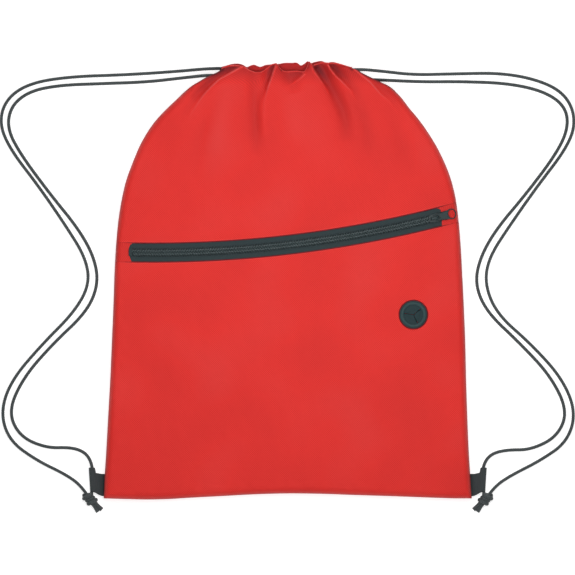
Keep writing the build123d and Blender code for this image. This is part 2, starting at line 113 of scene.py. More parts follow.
def grid_faces(rows, columns, closed=False):
    """Quads of a grid of points stored row by row. A closed grid joins its last column to its first."""
    faces = []
    for row in range(rows - 1):
        for column in range(columns if closed else columns - 1):
            following = (column + 1) % columns
            near = row * columns
            far = near + columns
            faces.append((near + column, near + following, far + following, far + column))
    return faces


def add_mesh(name, points, faces, material, slot, uv=None, values=None, body="root", node=None):
    """A smooth mesh piece from points in millimetres. uv is in metres of cloth; values are per point.

    node is the CAD node that it stands for.
    """
    mesh = bpy.data.meshes.new(name)
    mesh.from_pydata([tuple(point) for point in np.asarray(points) * MM], [], faces)
    mesh.polygons.foreach_set("use_smooth", [True] * len(mesh.polygons))
    loops = np.zeros(len(mesh.loops), np.int32)
    mesh.loops.foreach_get("vertex_index", loops)
    if uv is not None:
        layer = mesh.uv_layers.new(name="cloth")
        layer.data.foreach_set("uv", np.asarray(uv, np.float32)[loops].ravel())
    for key, numbers in (values or {}).items():
        attribute = mesh.attributes.new(key, "FLOAT", "POINT")
        attribute.data.foreach_set("value", np.asarray(numbers, np.float32))
    mesh.materials.append(material)
    mesh.update()
    piece = bpy.data.objects.new(name, mesh)
    bpy.context.scene.collection.objects.link(piece)
    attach(piece, body)
    if node:
        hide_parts(node)
    return piece


def dress(node, material):
    """Gives a CAD node that stays visible its material."""
    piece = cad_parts[node]
    piece.data.materials.clear()
    piece.data.materials.append(material)
    return piece


def joined(parts):
    """The points and faces of several meshes as one."""
    points, faces = [], []
    for own_points, own_faces in parts:
        base = len(points)
        points.extend(own_points)
        faces.extend([tuple(base + corner for corner in face) for face in own_faces])
    return np.array(points), faces


def lengths_along(line):
    """How far along a line each of its points is."""
    return np.concatenate([[0], np.cumsum(np.linalg.norm(np.diff(line, axis=0), axis=1))])


def thicken(piece, thickness, offset):
    """Makes a sheet solid, inwards where offset is -1 and outwards where it is 1."""
    solid = piece.modifiers.new("thickness", "SOLIDIFY")
    solid.thickness = thickness * MM
    solid.offset = offset
    return piece


def along_line(points, line):
    """For each point in plan: its distance from a line, +1 on the line's left, and how far along."""
    line = np.asarray(line, float)
    runs = np.linalg.norm(np.diff(line, axis=0), axis=1)
    starts = np.concatenate([[0], np.cumsum(runs)])
    best = np.full(len(points), np.inf)
    side = np.ones(len(points))
    share = np.zeros(len(points))
    for number, run in enumerate(runs):
        step = line[number + 1] - line[number]
        t = np.clip((points - line[number]) @ step / run**2, 0, 1)
        away = points - line[number] - t[:, None] * step
        distance = np.linalg.norm(away, axis=1)
        nearer = distance < best
        best = np.where(nearer, distance, best)
        side = np.where(nearer, np.sign(step[0] * away[:, 1] - step[1] * away[:, 0]), side)
        share = np.where(nearer, (starts[number] + t * run) / starts[-1], share)
    return best, side, share


def ripple(points, size, seed):
    """Smooth uneven waves of about that size, from -1 to 1, at each point in plan."""
    return np.array([noise.noise(Vector((x / size, y / size, seed))) for x, y in points])


# ---- Materials ----
class Nodes:
    """A material's node tree, with short calls for the nodes that this script uses."""

    def __init__(self, name, roughness, specular=0.5, sheen=0.0):
        self.material = bpy.data.materials.new(name)
        self.material.use_nodes = True
        self.tree = self.material.node_tree
        self.shader = self.tree.nodes["Principled BSDF"]
        self.set("Roughness", roughness)
        self.set("Specular IOR Level", specular)
        self.set("Sheen Weight", sheen)

    def set(self, socket, value):
        self.shader.inputs[socket].default_value = value

    def add(self, kind, inputs=(), **settings):
        node = self.tree.nodes.new(kind)
        for key, value in settings.items():
            setattr(node, key, value)
        for key, value in dict(inputs).items():
            if isinstance(value, bpy.types.NodeSocket):
                self.tree.links.new(value, node.inputs[key])
            else:
                node.inputs[key].default_value = value
        return node

    def math(self, operation, first, second):
        return self.add("ShaderNodeMath", {0: first, 1: second}, operation=operation).outputs[0]

    def times(self, first, second):
        return self.math("MULTIPLY", first, second)

    def plus(self, first, second):
        return self.math("ADD", first, second)

    def mix(self, share, first, second):
        """Between two colours, each a socket or a red, green and blue."""
        first, second = [(*colour, 1) if isinstance(colour, tuple) else colour for colour in (first, second)]
        node = self.add("ShaderNodeMix", {0: share, 6: first, 7: second}, data_type="RGBA")
        return node.outputs[2]

    def noise(self, vector, scale, detail=2.0):
        inputs = {"Vector": vector, "Scale": scale, "Detail": detail}
        return self.add("ShaderNodeTexNoise", inputs).outputs["Fac"]

    def bands(self, vector, pitch, direction):
        """Sine bands of that pitch, in the vector's units, across X or Y."""
        inputs = {"Vector": vector, "Scale": math.pi / 10 / pitch}
        settings = {"bands_direction": direction, "wave_profile": "SIN"}
        return self.add("ShaderNodeTexWave", inputs, **settings).outputs["Fac"]

    def cloth_place(self):
        """Coordinates in metres of the cloth or webbing."""
        return self.add("ShaderNodeUVMap", uv_map="cloth").outputs[0]

    def object_place(self):
        """Coordinates in metres of the object."""
        return self.add("ShaderNodeTexCoord").outputs["Object"]

    def turned(self, vector, degrees):
        inputs = {"Vector": vector, "Rotation": (0, 0, math.radians(degrees))}
        return self.add("ShaderNodeMapping", inputs).outputs[0]

    def value(self, key):
        return self.add("ShaderNodeAttribute", attribute_name=key).outputs["Fac"]

    def finish(self, colour, height=None, depth=0.0, roughness=None):
        links = self.tree.links
        links.new(colour, self.shader.inputs["Base Color"])
        if height is not None:
            bump = self.add("ShaderNodeBump", {"Height": height, "Distance": depth, "Strength": 1.0})
            links.new(bump.outputs[0], self.shader.inputs["Normal"])
        if roughness is not None:
            links.new(roughness, self.shader.inputs["Roughness"])
        return self.material


def red_cloth():
    """Red plain-woven polyester with a fine diagonal dimple, with a painted highlight on folds and painted
    shade in hollows.
    """
    nodes = Nodes("red_cloth", 0.7, specular=0.2, sheen=0.04)
    nodes.set("Sheen Roughness", 0.45)
    nodes.set("Sheen Tint", (1.0, 0.55, 0.5, 1))
    cloth = nodes.cloth_place()
    weave = nodes.times(nodes.bands(cloth, 0.0006, "X"), nodes.bands(cloth, 0.0006, "Y"))
    slanted = nodes.turned(cloth, 45)
    dimple = nodes.times(nodes.bands(slanted, 0.00146, "X"), nodes.bands(slanted, 0.00146, "Y"))
    cloudy = nodes.noise(cloth, 14.0, 3.0)
    threads = nodes.noise(cloth, 900.0)
    base = nodes.mix(cloudy, (0.67, 0.022, 0.0175), (0.78, 0.034, 0.0275))
    mottled = nodes.mix(nodes.times(dimple, 0.9), base, (0.48, 0.012, 0.010))
    # Painted light: the per-point value paints a highlight into the colour above zero and shade below zero.
    painted_light_and_tone = nodes.value("painted_light_and_tone")
    painted_highlight = nodes.math("MAXIMUM", painted_light_and_tone, 0.0)
    painted_shade = nodes.math("MAXIMUM", nodes.times(painted_light_and_tone, -1.0), 0.0)
    lit = nodes.mix(painted_highlight, mottled, (0.62, 0.12, 0.12))
    shaded = nodes.mix(painted_shade, lit, (0.14, 0.006, 0.010))
    fine = nodes.plus(nodes.times(dimple, -0.9), nodes.times(threads, 0.3))
    height = nodes.plus(nodes.times(weave, 0.35), fine)
    roughness = nodes.plus(nodes.times(cloudy, 0.15), 0.62)
    return nodes.finish(shaded, height, 0.00008, roughness)


def woven_tape():
    """Charcoal zipper tape with a fine rib across it."""
    nodes = Nodes("zipper_tape", 0.75, specular=0.15, sheen=0.05)
    place = nodes.object_place()
    weave = nodes.times(nodes.bands(place, 0.0007, "X"), nodes.bands(place, 0.0005, "Y"))
    height = nodes.plus(weave, nodes.times(nodes.noise(place, 700.0), 0.4))
    colour = nodes.mix(height, (0.017, 0.029, 0.032), (0.042, 0.060, 0.064))
    return nodes.finish(colour, height, 0.00006)


def coil_plastic():
    """Satin nylon filament of the zipper's coils, with a painted highlight on its crowns."""
    nodes = Nodes("zipper_coil", 0.45, specular=0.3)
    grain = nodes.noise(nodes.object_place(), 350.0)
    dark = nodes.mix(grain, (0.014, 0.024, 0.026), (0.024, 0.038, 0.040))
    colour = nodes.mix(nodes.value("painted_crown_highlight"), dark, (0.050, 0.072, 0.075))
    return nodes.finish(colour, grain, 0.00002)


def enamel():
    """Dark enamel of the slider and its pull tab, a little uneven."""
    nodes = Nodes("slider_enamel", 0.5, specular=0.28)
    place = nodes.object_place()
    broad = nodes.noise(place, 160.0)
    colour = nodes.mix(broad, (0.007, 0.017, 0.019), (0.014, 0.030, 0.033))
    roughness = nodes.plus(nodes.times(broad, 0.2), 0.4)
    return nodes.finish(colour, nodes.noise(place, 900.0, 3.0), 0.00001, roughness)


def rubber():
    """Matte moulded rubber of the earbud port, with a painted highlight where it is raised."""
    nodes = Nodes("port_rubber", 0.62, specular=0.12)
    place = nodes.object_place()
    broad = nodes.noise(place, 90.0)
    low = nodes.mix(broad, (0.013, 0.030, 0.034), (0.020, 0.042, 0.046))
    high = nodes.mix(broad, (0.026, 0.052, 0.056), (0.038, 0.069, 0.072))
    colour = nodes.mix(nodes.value("painted_raised_highlight"), low, high)
    roughness = nodes.plus(nodes.times(broad, 0.2), 0.52)
    return nodes.finish(colour, nodes.noise(place, 1500.0), 0.00002, roughness)


def grosgrain():
    """Ribbed charcoal webbing of the corner tabs."""
    nodes = Nodes("webbing", 0.75, specular=0.2, sheen=0.15)
    cloth = nodes.cloth_place()
    ribs = nodes.plus(nodes.bands(cloth, 0.00085, "X"), nodes.times(nodes.bands(cloth, 0.0006, "Y"), 0.4))
    height = nodes.plus(ribs, nodes.times(nodes.noise(cloth, 800.0), 0.5))
    colour = nodes.mix(nodes.times(height, 0.5), (0.022, 0.029, 0.031), (0.060, 0.070, 0.073))
    return nodes.finish(colour, height, 0.00012)


def braided_cord():
    """Braided polyester cord: its strands are in the mesh, and the yarns on them are here, with a painted
    highlight on the strands.
    """
    nodes = Nodes("drawcord", 0.66, specular=0.2, sheen=0.12)
    place = nodes.object_place()
    dark = nodes.mix(nodes.noise(place, 60.0, 1.0), (0.021, 0.028, 0.030), (0.030, 0.038, 0.040))
    # Painted highlight on the strands' crests.
    colour = nodes.mix(nodes.value("strand_and_painted_highlight"), dark, (0.066, 0.078, 0.080))
    return nodes.finish(colour, nodes.noise(place, 1800.0), 0.00006)


RED = red_cloth()
TAPE = woven_tape()
COIL = coil_plastic()
ENAMEL = enamel()
RUBBER = rubber()
WEBBING = grosgrain()
CORD = braided_cord()


# ---- Tubes along a line ----
def tube_frames(line):
    """For each point of a line: its heading and two square directions that don't twist."""
    heads = np.gradient(line, axis=0)
    heads /= np.linalg.norm(heads, axis=1)[:, None]
    side = np.cross(heads[0], (0.0, 0.0, 1.0))
    if np.linalg.norm(side) < 0.1:
        side = np.cross(heads[0], (0.0, 1.0, 0.0))
    sides = []
    for head in heads:
        side = side - head * (side @ head)
        side = side / np.linalg.norm(side)
        sides.append(side)
    sides = np.array(sides)
    return heads, sides, np.cross(heads, sides)


def resampled(line, step):
    """The line's points again, about step apart."""
    along = lengths_along(line)
    wanted = np.linspace(0, along[-1], max(2, int(round(along[-1] / step)) + 1))
    return np.stack([np.interp(wanted, along, line[:, axis]) for axis in range(3)], axis=1), wanted


BRAID_CARRIERS = 4
BRAID_PITCH = 9.0
BRAID_DEPTH = 0.16


def braid(along, angle):
    """How far a braided cord's surface stands out, from 0 between the strands to 1 on them."""
    turn = 2 * math.pi * along / BRAID_PITCH
    one_way = np.abs(np.cos(BRAID_CARRIERS * (angle + turn) / 2))
    other_way = np.abs(np.cos(BRAID_CARRIERS * (angle - turn) / 2))
    return np.maximum(one_way, other_way) ** 2


def tube(line, reach, around=7):
    """Points and faces of a tube with closed ends. reach is its radius, or one for each point and angle."""
    _, sides, ups = tube_frames(line)
    angles = np.linspace(0, 2 * math.pi, around, endpoint=False)[None, :, None]
    ring = sides[:, None, :] * np.cos(angles) + ups[:, None, :] * np.sin(angles)
    points = (line[:, None, :] + ring * reach).reshape(-1, 3)
    faces = grid_faces(len(line), around, closed=True)
    faces.append(tuple(range(around))[::-1])
    faces.append(tuple(range((len(line) - 1) * around, len(line) * around)))
    return points, faces


def cord_tube(line, radii, around=20, step=0.7):
    """A braided tube along a line of points in millimetres, as points, faces and strand values; the strand
    values also carry a painted highlight.
    """
    fine, along = resampled(line, step)
    radii = np.interp(along / along[-1], np.linspace(0, 1, len(radii)), radii)
    angles = np.linspace(0, 2 * math.pi, around, endpoint=False)
    strand_and_painted_highlight = braid(along[:, None], angles[None, :])
    reach = radii[:, None] - BRAID_DEPTH * (1 - strand_and_painted_highlight)
    return *tube(fine, reach[:, :, None], around), strand_and_painted_highlight.ravel()


def route_line(name, route):
    """The smooth line of a cord's route, in metres: a NURBS curve with the route's points."""
    curve = bpy.data.curves.new(name, "CURVE")
    curve.dimensions = "3D"
    curve.resolution_u = 24
    spline = curve.splines.new("NURBS")
    spline.points.add(len(route) - 1)
    for point, place in zip(spline.points, route):
        point.co = (*place, 1.0)
    spline.order_u = 3
    spline.use_endpoint_u = True
    holder = bpy.data.objects.new(name, curve)
    mesh = bpy.data.meshes.new_from_object(holder)
    line = np.array([vertex.co for vertex in mesh.vertices], float)
    bpy.data.objects.remove(holder)
    bpy.data.meshes.remove(mesh)
    return line


KNOT_MIDDLE = (191.2, -212.6)
KNOT_LEVEL = 5.0
KNOT_TURNS = 2.6
KNOT_REACH = 3.1
KNOT_TAILS = {-1: 9.9, 1: 10.8}


def knot_lines(side):
    """Lines and radii of a corner knot: two cord ends that pass through it, and the turns round them."""
    middle = np.array([side * KNOT_MIDDLE[0], KNOT_MIDDLE[1], KNOT_LEVEL])
    along = np.array([side * -0.65, -0.76, 0.0])
    across = np.array([side * -0.76, 0.65, 0.0])
    up = np.array([0.0, 0.0, 1.0])

    def line(forward, sideways, upward):
        return middle + along * forward[:, None] + across * sideways[:, None] + up * upward[:, None]

    lines = []
    for lean, length in KNOT_TAILS.items():
        reach = np.linspace(-5.0, 4.0 + length, 40)
        flare = smooth_step(3.0, 4.0 + length, reach)
        spread = lean * (1.5 + 0.5 * flare) + 0.35 * np.sin(reach * 0.35 + lean)
        lines.append((line(reach, spread, -2.9 * smooth_step(3.0, 12.0, reach)), 1.75 + 0.4 * flare))
    turn = np.linspace(-0.4, KNOT_TURNS, 110)
    angle = 2 * math.pi * turn
    swell = KNOT_REACH + 0.4 * np.sin(angle * 0.5 + 0.6)
    forward = -4.7 + 3.3 * turn + 1.7 * np.cos(angle)
    wrap = line(forward, swell * 1.2 * np.cos(angle), swell * 0.95 * np.sin(angle))
    lines.append((wrap, np.full(len(wrap), 1.95)))
    return lines


def corner_knot(side, name, node):
    tubes = [cord_tube(line, radii, step=0.6) for line, radii in knot_lines(side)]
    points, faces = joined([tube[:2] for tube in tubes])
    points[:, 2] = np.maximum(points[:, 2], 0.1)
    values = {"strand_and_painted_highlight": np.concatenate([tube[2] for tube in tubes])}
    return add_mesh(name, points, faces, CORD, "drawcord", values=values, node=node)


def drawcord(side_name, route, side):
    """A cord and the knot that it ends in."""
    knot = corner_knot(side, f"corner_knot_{side_name}", f"knot_{side_name}")
    line = route_line(f"route_{side_name}", route)
    points, faces, painted_strand_highlights = cord_tube(line / MM, [CORD_DIAMETER / 2 / MM] * 2)
    name, node, values = f"drawcord_{side_name}", f"cord_{side_name}", {"strand_and_painted_highlight": painted_strand_highlights}
    cord = add_mesh(name, points, faces, CORD, "drawcord", values=values, node=node)


drawcord("left", LEFT_ROUTE, -1)
drawcord("right", RIGHT_ROUTE, 1)

# ---- Bag: outline and levels, in millimetres ----
CORNER_X = 178.6
HALF_LENGTH = 211.7
MOUTH_CORNER = 206.6
FRONT_LEVEL = 22.0
CLOTH_THICK = 0.4
SEAM_LEVEL = 1.1
OVER_CORDS = 20.9
ZIP_CENTRE = (-129.8, 1150.6)
ZIP_RADIUS = 1124.0
WINDOW_HALF = 9.6
WINDOW_LEFT = -153.5
WINDOW_RIGHT = 149.0
PORT_CENTRE = (121.4, -33.3)


def through(points, at):
    """Values of a smooth curve through listed points, at the given places."""
    points = np.array(points, float)
    at = np.asarray(at, float)
    slopes = np.gradient(points[:, 1], points[:, 0])
    index = np.clip(np.searchsorted(points[:, 0], at) - 1, 0, len(points) - 2)
    span = points[index + 1, 0] - points[index, 0]
    t = (at - points[index, 0]) / span
    return (
        (2 * t**3 - 3 * t**2 + 1) * points[index, 1]
        + (t**3 - 2 * t**2 + t) * span * slopes[index]
        + (-2 * t**3 + 3 * t**2) * points[index + 1, 1]
        + (t**3 - t**2) * span * slopes[index + 1]
    )


# Half the bag's width by height, on each side: the side seams draw in to the gathered mouth.
SIDE_WIDTHS = {
    -1: [
        (-212, 178.6), (-194, 177.8), (-165, 176.0), (-136, 174.4), (-97, 172.2), (-58, 170.5),
        (-20, 168.9), (10, 167.9), (38, 166.2), (63, 163.6), (82, 160.3), (97, 156.6), (111, 151.6),
        (121, 147.6), (131, 143.2), (140, 138.3), (150, 131.8), (160, 123.5), (167, 116.6),
        (173, 110.3), (178, 105.0), (182, 100.2), (186, 94.8), (190, 88.8), (194, 82.3),
        (198, 75.0), (201, 68.0), (203, 65.2), (205, 64.0), (206.6, 63.6),
    ],
    1: [
        (-212, 178.6), (-194, 177.4), (-165, 175.6), (-136, 174.4), (-97, 173.1), (-58, 172.2),
        (-20, 170.6), (10, 169.1), (38, 167.5), (63, 165.2), (82, 162.4), (97, 158.6), (111, 153.5),
        (121, 148.9), (131, 143.7), (140, 138.2), (150, 131.5), (160, 123.8), (167, 117.8),
        (173, 113.4), (178, 109.4), (182, 105.2), (186, 99.8), (190, 92.8), (194, 84.6),
        (198, 76.2), (201, 70.6), (203, 68.0), (205, 65.2), (206.6, 62.4),
    ],
}
BOTTOM_EDGE = [
    (-178.6, -211.7), (-160, -212.3), (-138, -212.8), (-118, -212.5), (-94, -211.1), (-65, -209.6),
    (-31, -207.8), (0, -207.0), (32, -207.4), (66, -208.6), (95, -209.5), (138, -211.1),
    (163, -211.9), (178.6, -211.9),
]


def side_points(side):
    """A side seam's points, as height and half width, up from the bottom corner."""
    heights = np.concatenate([np.linspace(-HALF_LENGTH, 150, 90), np.linspace(151, MOUTH_CORNER, 90)])
    return np.stack([through(SIDE_WIDTHS[side], heights), heights], axis=1)


SIDES = {side: side_points(side) for side in (-1, 1)}


def bottom_edge(x):
    """Points of the bottom seam, by x."""
    return np.stack([x, through(BOTTOM_EDGE, x)], axis=1)


def side_between(low_y, high_y, share, side):
    """Points on a side seam between two heights. share runs from 0 to 1 by length."""
    seam = SIDES[side]
    lengths = lengths_along(seam)
    first = np.interp(low_y, seam[:, 1], lengths)
    last = np.interp(high_y, seam[:, 1], lengths)
    at = first + (last - first) * share
    return np.stack([side * np.interp(at, lengths, seam[:, 0]), np.interp(at, lengths, seam[:, 1])], axis=1)


def both_sides(low, top, share):
    """A panel's left and right edges, along the side seams from two low heights to its top row."""
    return [side_between(low[end], top[end, 1], share, side) for end, side in ((0, -1), (-1, 1))]


def on_zip(bearing, offset):
    """Points by bearing about the zipper's centre and offset from its centre line to the mouth."""
    reach = ZIP_RADIUS - offset
    return np.stack(
        np.broadcast_arrays(
            ZIP_CENTRE[0] + reach * np.cos(bearing), ZIP_CENTRE[1] + reach * np.sin(bearing)
        ),
        axis=-1,
    )


def zip_bearing(x, offset=0.0):
    return -math.pi / 2 + np.arcsin((np.asarray(x, float) - ZIP_CENTRE[0]) / (ZIP_RADIUS - offset))


def zip_ends(offset):
    """The bearings where a line beside the zipper meets the left and right side seams."""
    tried = np.linspace(zip_bearing(-185.0, offset), zip_bearing(185.0, offset), 4000)
    places = on_zip(tried, offset)
    widths = [np.interp(places[:, 1], SIDES[side][:, 1], SIDES[side][:, 0]) for side in (-1, 1)]
    inside = np.where(places[:, 0] < 0, widths[0], widths[1]) - np.abs(places[:, 0])
    kept = tried[inside >= 0]
    return kept[0], kept[-1]


SEAM_LINE = np.vstack(
    [
        (SIDES[-1] * (-1, 1))[::-1],
        bottom_edge(np.linspace(-CORNER_X, CORNER_X, 41)[1:-1]),
        SIDES[1],
    ]
)


def seam_distance(plan):
    return along_line(plan, SEAM_LINE)[0]


# Crease lines of the gathered front, from the mouth down: the line, the height of its ridge, how
# gently it falls on its lit side and how steeply on its shaded side, the depth of the hollow on
# that side, and which side that is (+1 on the line's left).
CREASES = [
    (
        [(-38, 211), (-42.3, 206.7), (-52.8, 201.1), (-66.4, 193.7), (-75.1, 185.7), (-82.5, 177.6),
         (-92, 163), (-100, 148)],
        2.8, 17.0, 5.5, 4.5, -1,
    ),
    (
        [(-9.5, 213), (-10.8, 208.5), (-14.5, 198.6), (-18.2, 188.7), (-20.7, 181.3), (-25, 166)],
        3.2, 12.0, 3.6, 8.5, -1,
    ),
    (
        [(22.0, 213), (21.6, 207.3), (18.9, 202.3), (15.2, 197.4), (9.0, 192.5), (2.9, 188.8), (-5, 185)],
        2.8, 8.0, 6.5, 6.0, -1,
    ),
    (
        [(22.4, 213), (22.9, 207.3), (25.1, 202.3), (29.5, 196.2), (33.8, 190.0), (38.7, 182.5),
         (45, 170)],
        3.0, 8.0, 4.8, 8.0, 1,
    ),
    (
        [(36.8, 213), (37.5, 210.3), (41.2, 203.6), (46.2, 197.4), (52.3, 191.8), (61, 183), (68, 170)],
        2.6, 7.0, 4.8, 6.5, 1,
    ),
    (
        [(49, 212), (53.6, 209.1), (63.5, 204.2), (79.6, 191.2), (89.5, 180.1), (98.1, 172.7),
         (109, 157)],
        2.6, 14.0, 5.5, 4.5, 1,
    ),
]

# Soft hollows (below zero) and swells that run on down the panel: the line, its height and width.
SWELLS = [
    ([(30, 210), (34, 200), (40, 190), (46.2, 178.8), (52.3, 166), (56, 152.8), (58, 132)], -4.2, 6.5),
    ([(-34, 200), (-32, 175), (-30.6, 149), (-30, 118)], -2.6, 6.5),
    ([(-24.3, 176), (-24.3, 158), (-23, 135)], 1.6, 4.5),
    ([(66, 176), (76, 147), (80, 118)], -1.4, 7.0),
    ([(-70, 176), (-84, 140), (-92, 96)], -1.2, 9.0),
    ([(2, 186), (4, 160), (6, 128)], 0.9, 12.0),
    ([(-58, 196), (-66, 160), (-72, 120)], 1.0, 12.0),
    ([(96, 168), (112, 130), (121, 96)], -1.0, 9.0),
    ([(-66, 199), (-76, 191), (-86, 184), (-96, 174)], -2.4, 5.5),
    ([(-2, 205), (0, 196), (6, 188), (8, 180)], -2.4, 6.5),
]


def crease_height(plan):
    """Height, and the painted highlight and shade, that the creases and swells add at each point in plan."""
    height = np.zeros(len(plan))
    painted_light_and_tone = np.zeros(len(plan))
    for line, rise, gentle, steep, drop, shaded_side in CREASES:
        distance, side, share = along_line(plan, line)
        across = distance * side * shaded_side
        fade = 0.5 + 0.5 * np.cos(math.pi * share)
        ridge = rise * np.exp(-np.abs(across) / np.where(across < 0, gentle, steep))
        out = np.maximum(across, 0) / steep
        hollow = drop * out * np.exp(1 - out)
        height += 1.2 * fade * (ridge - hollow)
        # Painted highlight along each crease line.
        painted_light_and_tone += fade * np.exp(-((across / 0.9) ** 2))
        # Painted shade in the crease's hollow, on its shaded side.
        painted_light_and_tone -= 0.52 * fade**0.7 * np.exp(-((out - 0.9) ** 2) * 1.6) * (across > 0)
    for line, rise, width in SWELLS:
        distance, _, share = along_line(plan, line)
        fade = np.sin(math.pi * np.clip(0.12 + 0.88 * share, 0, 1)) ** 0.8
        height += rise * fade * np.exp(-((distance / width) ** 2))
        # Painted shade in soft hollows and a painted highlight on swells.
        painted_light_and_tone += 0.085 * rise * fade * np.exp(-((distance / width) ** 2))
    return height, painted_light_and_tone


def calm(plan):
    """1 over free cloth, falling to 0 by the zipper, its pull tab and the earbud port."""
    from_zip = np.abs(ZIP_RADIUS - np.hypot(plan[:, 0] - ZIP_CENTRE[0], plan[:, 1] - ZIP_CENTRE[1]))
    from_port = np.hypot(plan[:, 0] - PORT_CENTRE[0], plan[:, 1] - PORT_CENTRE[1])
    return smooth_step(WINDOW_HALF + 1, WINDOW_HALF + 26, from_zip) * smooth_step(15.5, 34, from_port)


def front_surface(plan):
    """Height of the front's outer face, and its painted light with a little random tone, at each point in
    plan.
    """
    away = np.maximum(seam_distance(plan) - 0.3, 0)
    free = calm(plan)
    x, y = plan[:, 0], plan[:, 1]
    share = np.clip(away / (6.5 + 2.0 * free), 0, 1)
    turn_up = (1 - (1 - share) ** 3) ** (1 / 3)
    pucker = ripple(plan, 9.0, 3.1) * np.exp(-((away - 5) / 8.0) ** 2)
    waves = (
        1.3 * ripple(plan, 62.0, 0.4)
        + 0.55 * ripple(plan * (1.0, 0.45), 24.0, 5.2)
        + 0.22 * ripple(plan * (1.0, 0.6), 11.0, 9.7)
    )
    top = FRONT_LEVEL + free * (waves + 0.5 * pucker) + 3.4 * smooth_step(150, 200, y)
    creases, painted_light_and_tone = crease_height(plan)
    top += creases * smooth_step(0, 12, away)
    seam = SEAM_LEVEL + (OVER_CORDS - SEAM_LEVEL) * smooth_step(178, 190, y)
    height = np.maximum(seam + (top - seam) * turn_up, OVER_CORDS * smooth_step(183, 189, y))
    # Painted shade along the seams and towards the mouth.
    painted_light_and_tone = painted_light_and_tone - 0.5 * np.exp(-((away / 1.2) ** 2)) - 0.42 * smooth_step(187, 206, y)
    # Painted shade in a dark notch at each corner of the mouth.
    painted_light_and_tone -= 0.9 * smooth_step(201, 204, y) * np.exp(-((np.abs(x + 0.7) - 62.6) ** 2) / 1.6)
    # A little random tone on top of the painted light.
    return height, painted_light_and_tone + 0.1 * ripple(plan, 48.0, 8.8)


def closer_at_ends(count, share=0.65):
    """Numbers from 0 to 1 that lie closer together near both ends."""
    even = np.linspace(0, 1, count)
    return (1 - share) * even + share * (0.5 - 0.5 * np.cos(math.pi * even))


# ---- Cloth sheets made of rows ----
def patch(bottom, top, left, right):
    """A grid of plan points inside four edges, each of which starts at the left or the bottom."""
    across = np.linspace(0, 1, len(bottom))[None, :, None]
    up = np.linspace(0, 1, len(left))[:, None, None]
    between_rows = (1 - up) * bottom[None] + up * top[None]
    between_sides = (1 - across) * left[:, None] + across * right[:, None]
    corners = (
        (1 - across) * (1 - up) * bottom[0]
        + across * (1 - up) * bottom[-1]
        + (1 - across) * up * top[0]
        + across * up * top[-1]
    )
    return between_rows + between_sides - corners


def cloth_places(rows):
    """Where each point of a sheet is on the cloth, in millimetres: lengths along its row and column."""
    across = np.linalg.norm(np.diff(rows, axis=1), axis=2)
    across = np.concatenate([np.zeros((len(rows), 1)), np.cumsum(across, axis=1)], axis=1)
    across -= across[:, [rows.shape[1] // 2]]
    up = np.linalg.norm(np.diff(rows, axis=0), axis=2)
    up = np.concatenate([np.zeros((1, rows.shape[1])), np.cumsum(up, axis=0)])
    return np.stack([across, up], axis=2)


def cloth_sheet(name, node, rows, painted_light_and_tones, thickness=CLOTH_THICK, facing=1):
    """A cloth piece from rows of points, whose outer face looks up, or down where facing is -1."""
    faces = grid_faces(*rows.shape[:2])
    across_row = rows[:-1, 1:] - rows[:-1, :-1]
    up_column = rows[1:, :-1] - rows[:-1, :-1]
    if np.cross(across_row, up_column)[:, :, 2].sum() * facing < 0:
        faces = [face[::-1] for face in faces]
    points, uv = rows.reshape(-1, 3), cloth_places(rows).reshape(-1, 2) * MM
    values = {"painted_light_and_tone": np.asarray(painted_light_and_tones).ravel()}
    sheet = add_mesh(name, points, faces, RED, "red_fabric", uv=uv, values=values, node=node)
    return thicken(sheet, thickness, -1)


def lifted(plan, height):
    """Plan points with a height, one for all of them or one for each."""
    height = np.broadcast_to(height, plan.shape[:-1])
    return np.concatenate([plan, height[..., None]], axis=-1)


def surface_rows(plan, surface):
    flat = plan.reshape(-1, 2)
    height, painted_light_and_tone = surface(flat)
    shape = plan.shape[:2]
    return lifted(plan, height.reshape(shape)), painted_light_and_tone.reshape(shape)


# Rows of a folded edge, from under the cloth, round its nose and up to the outer face: how far
# each is from the window's edge, how deep it is, its painted shade (below zero) and highlight (above zero),
# and how far it stops short of the sides.
FOLD = (
    (6.0, 0.62, -0.9, 3.5),
    (2.6, 0.60, -0.9, 3.0),
    (0.6, 0.58, -0.9, 2.2),
    (-0.5, 0.58, -1.0, 1.6),
    (-0.95, 0.46, -1.0, 1.1),
    (-0.95, 0.26, -1.0, 0.6),
    (-0.6, 0.10, -1.0, 0.2),
    (0.0, 0.03, -0.9, 0.0),
    (0.5, 0.0, 0.35, 0.0),
)


def zip_fold(bearings, direction):
    """Rows, and painted shade and highlight, of the folded edge on the mouth's side (direction 1) or the
    other (-1).
    """
    rows, painted_light_and_tones = [], []
    middle = bearings.mean()
    from_side = np.minimum(bearings - bearings[0], bearings[-1] - bearings) * ZIP_RADIUS
    strength = smooth_step(1.0, 22.0, from_side)
    for step, depth, painted_light_and_tone, inset in FOLD:
        step = step if step > 0.5 else step * (0.4 + 0.6 * strength)
        plan = on_zip(middle + (bearings - middle) * (1 - inset / 170), direction * (WINDOW_HALF + step))
        row, _ = surface_rows(plan[None], front_surface)
        row[:, :, 2] -= depth
        rows.append(row[0])
        # The painted shadow line and highlight are weaker near the side seams.
        painted_light_and_tones.append(painted_light_and_tone * (0.3 + 0.7 * strength))
    return np.array(rows), np.array(painted_light_and_tones)


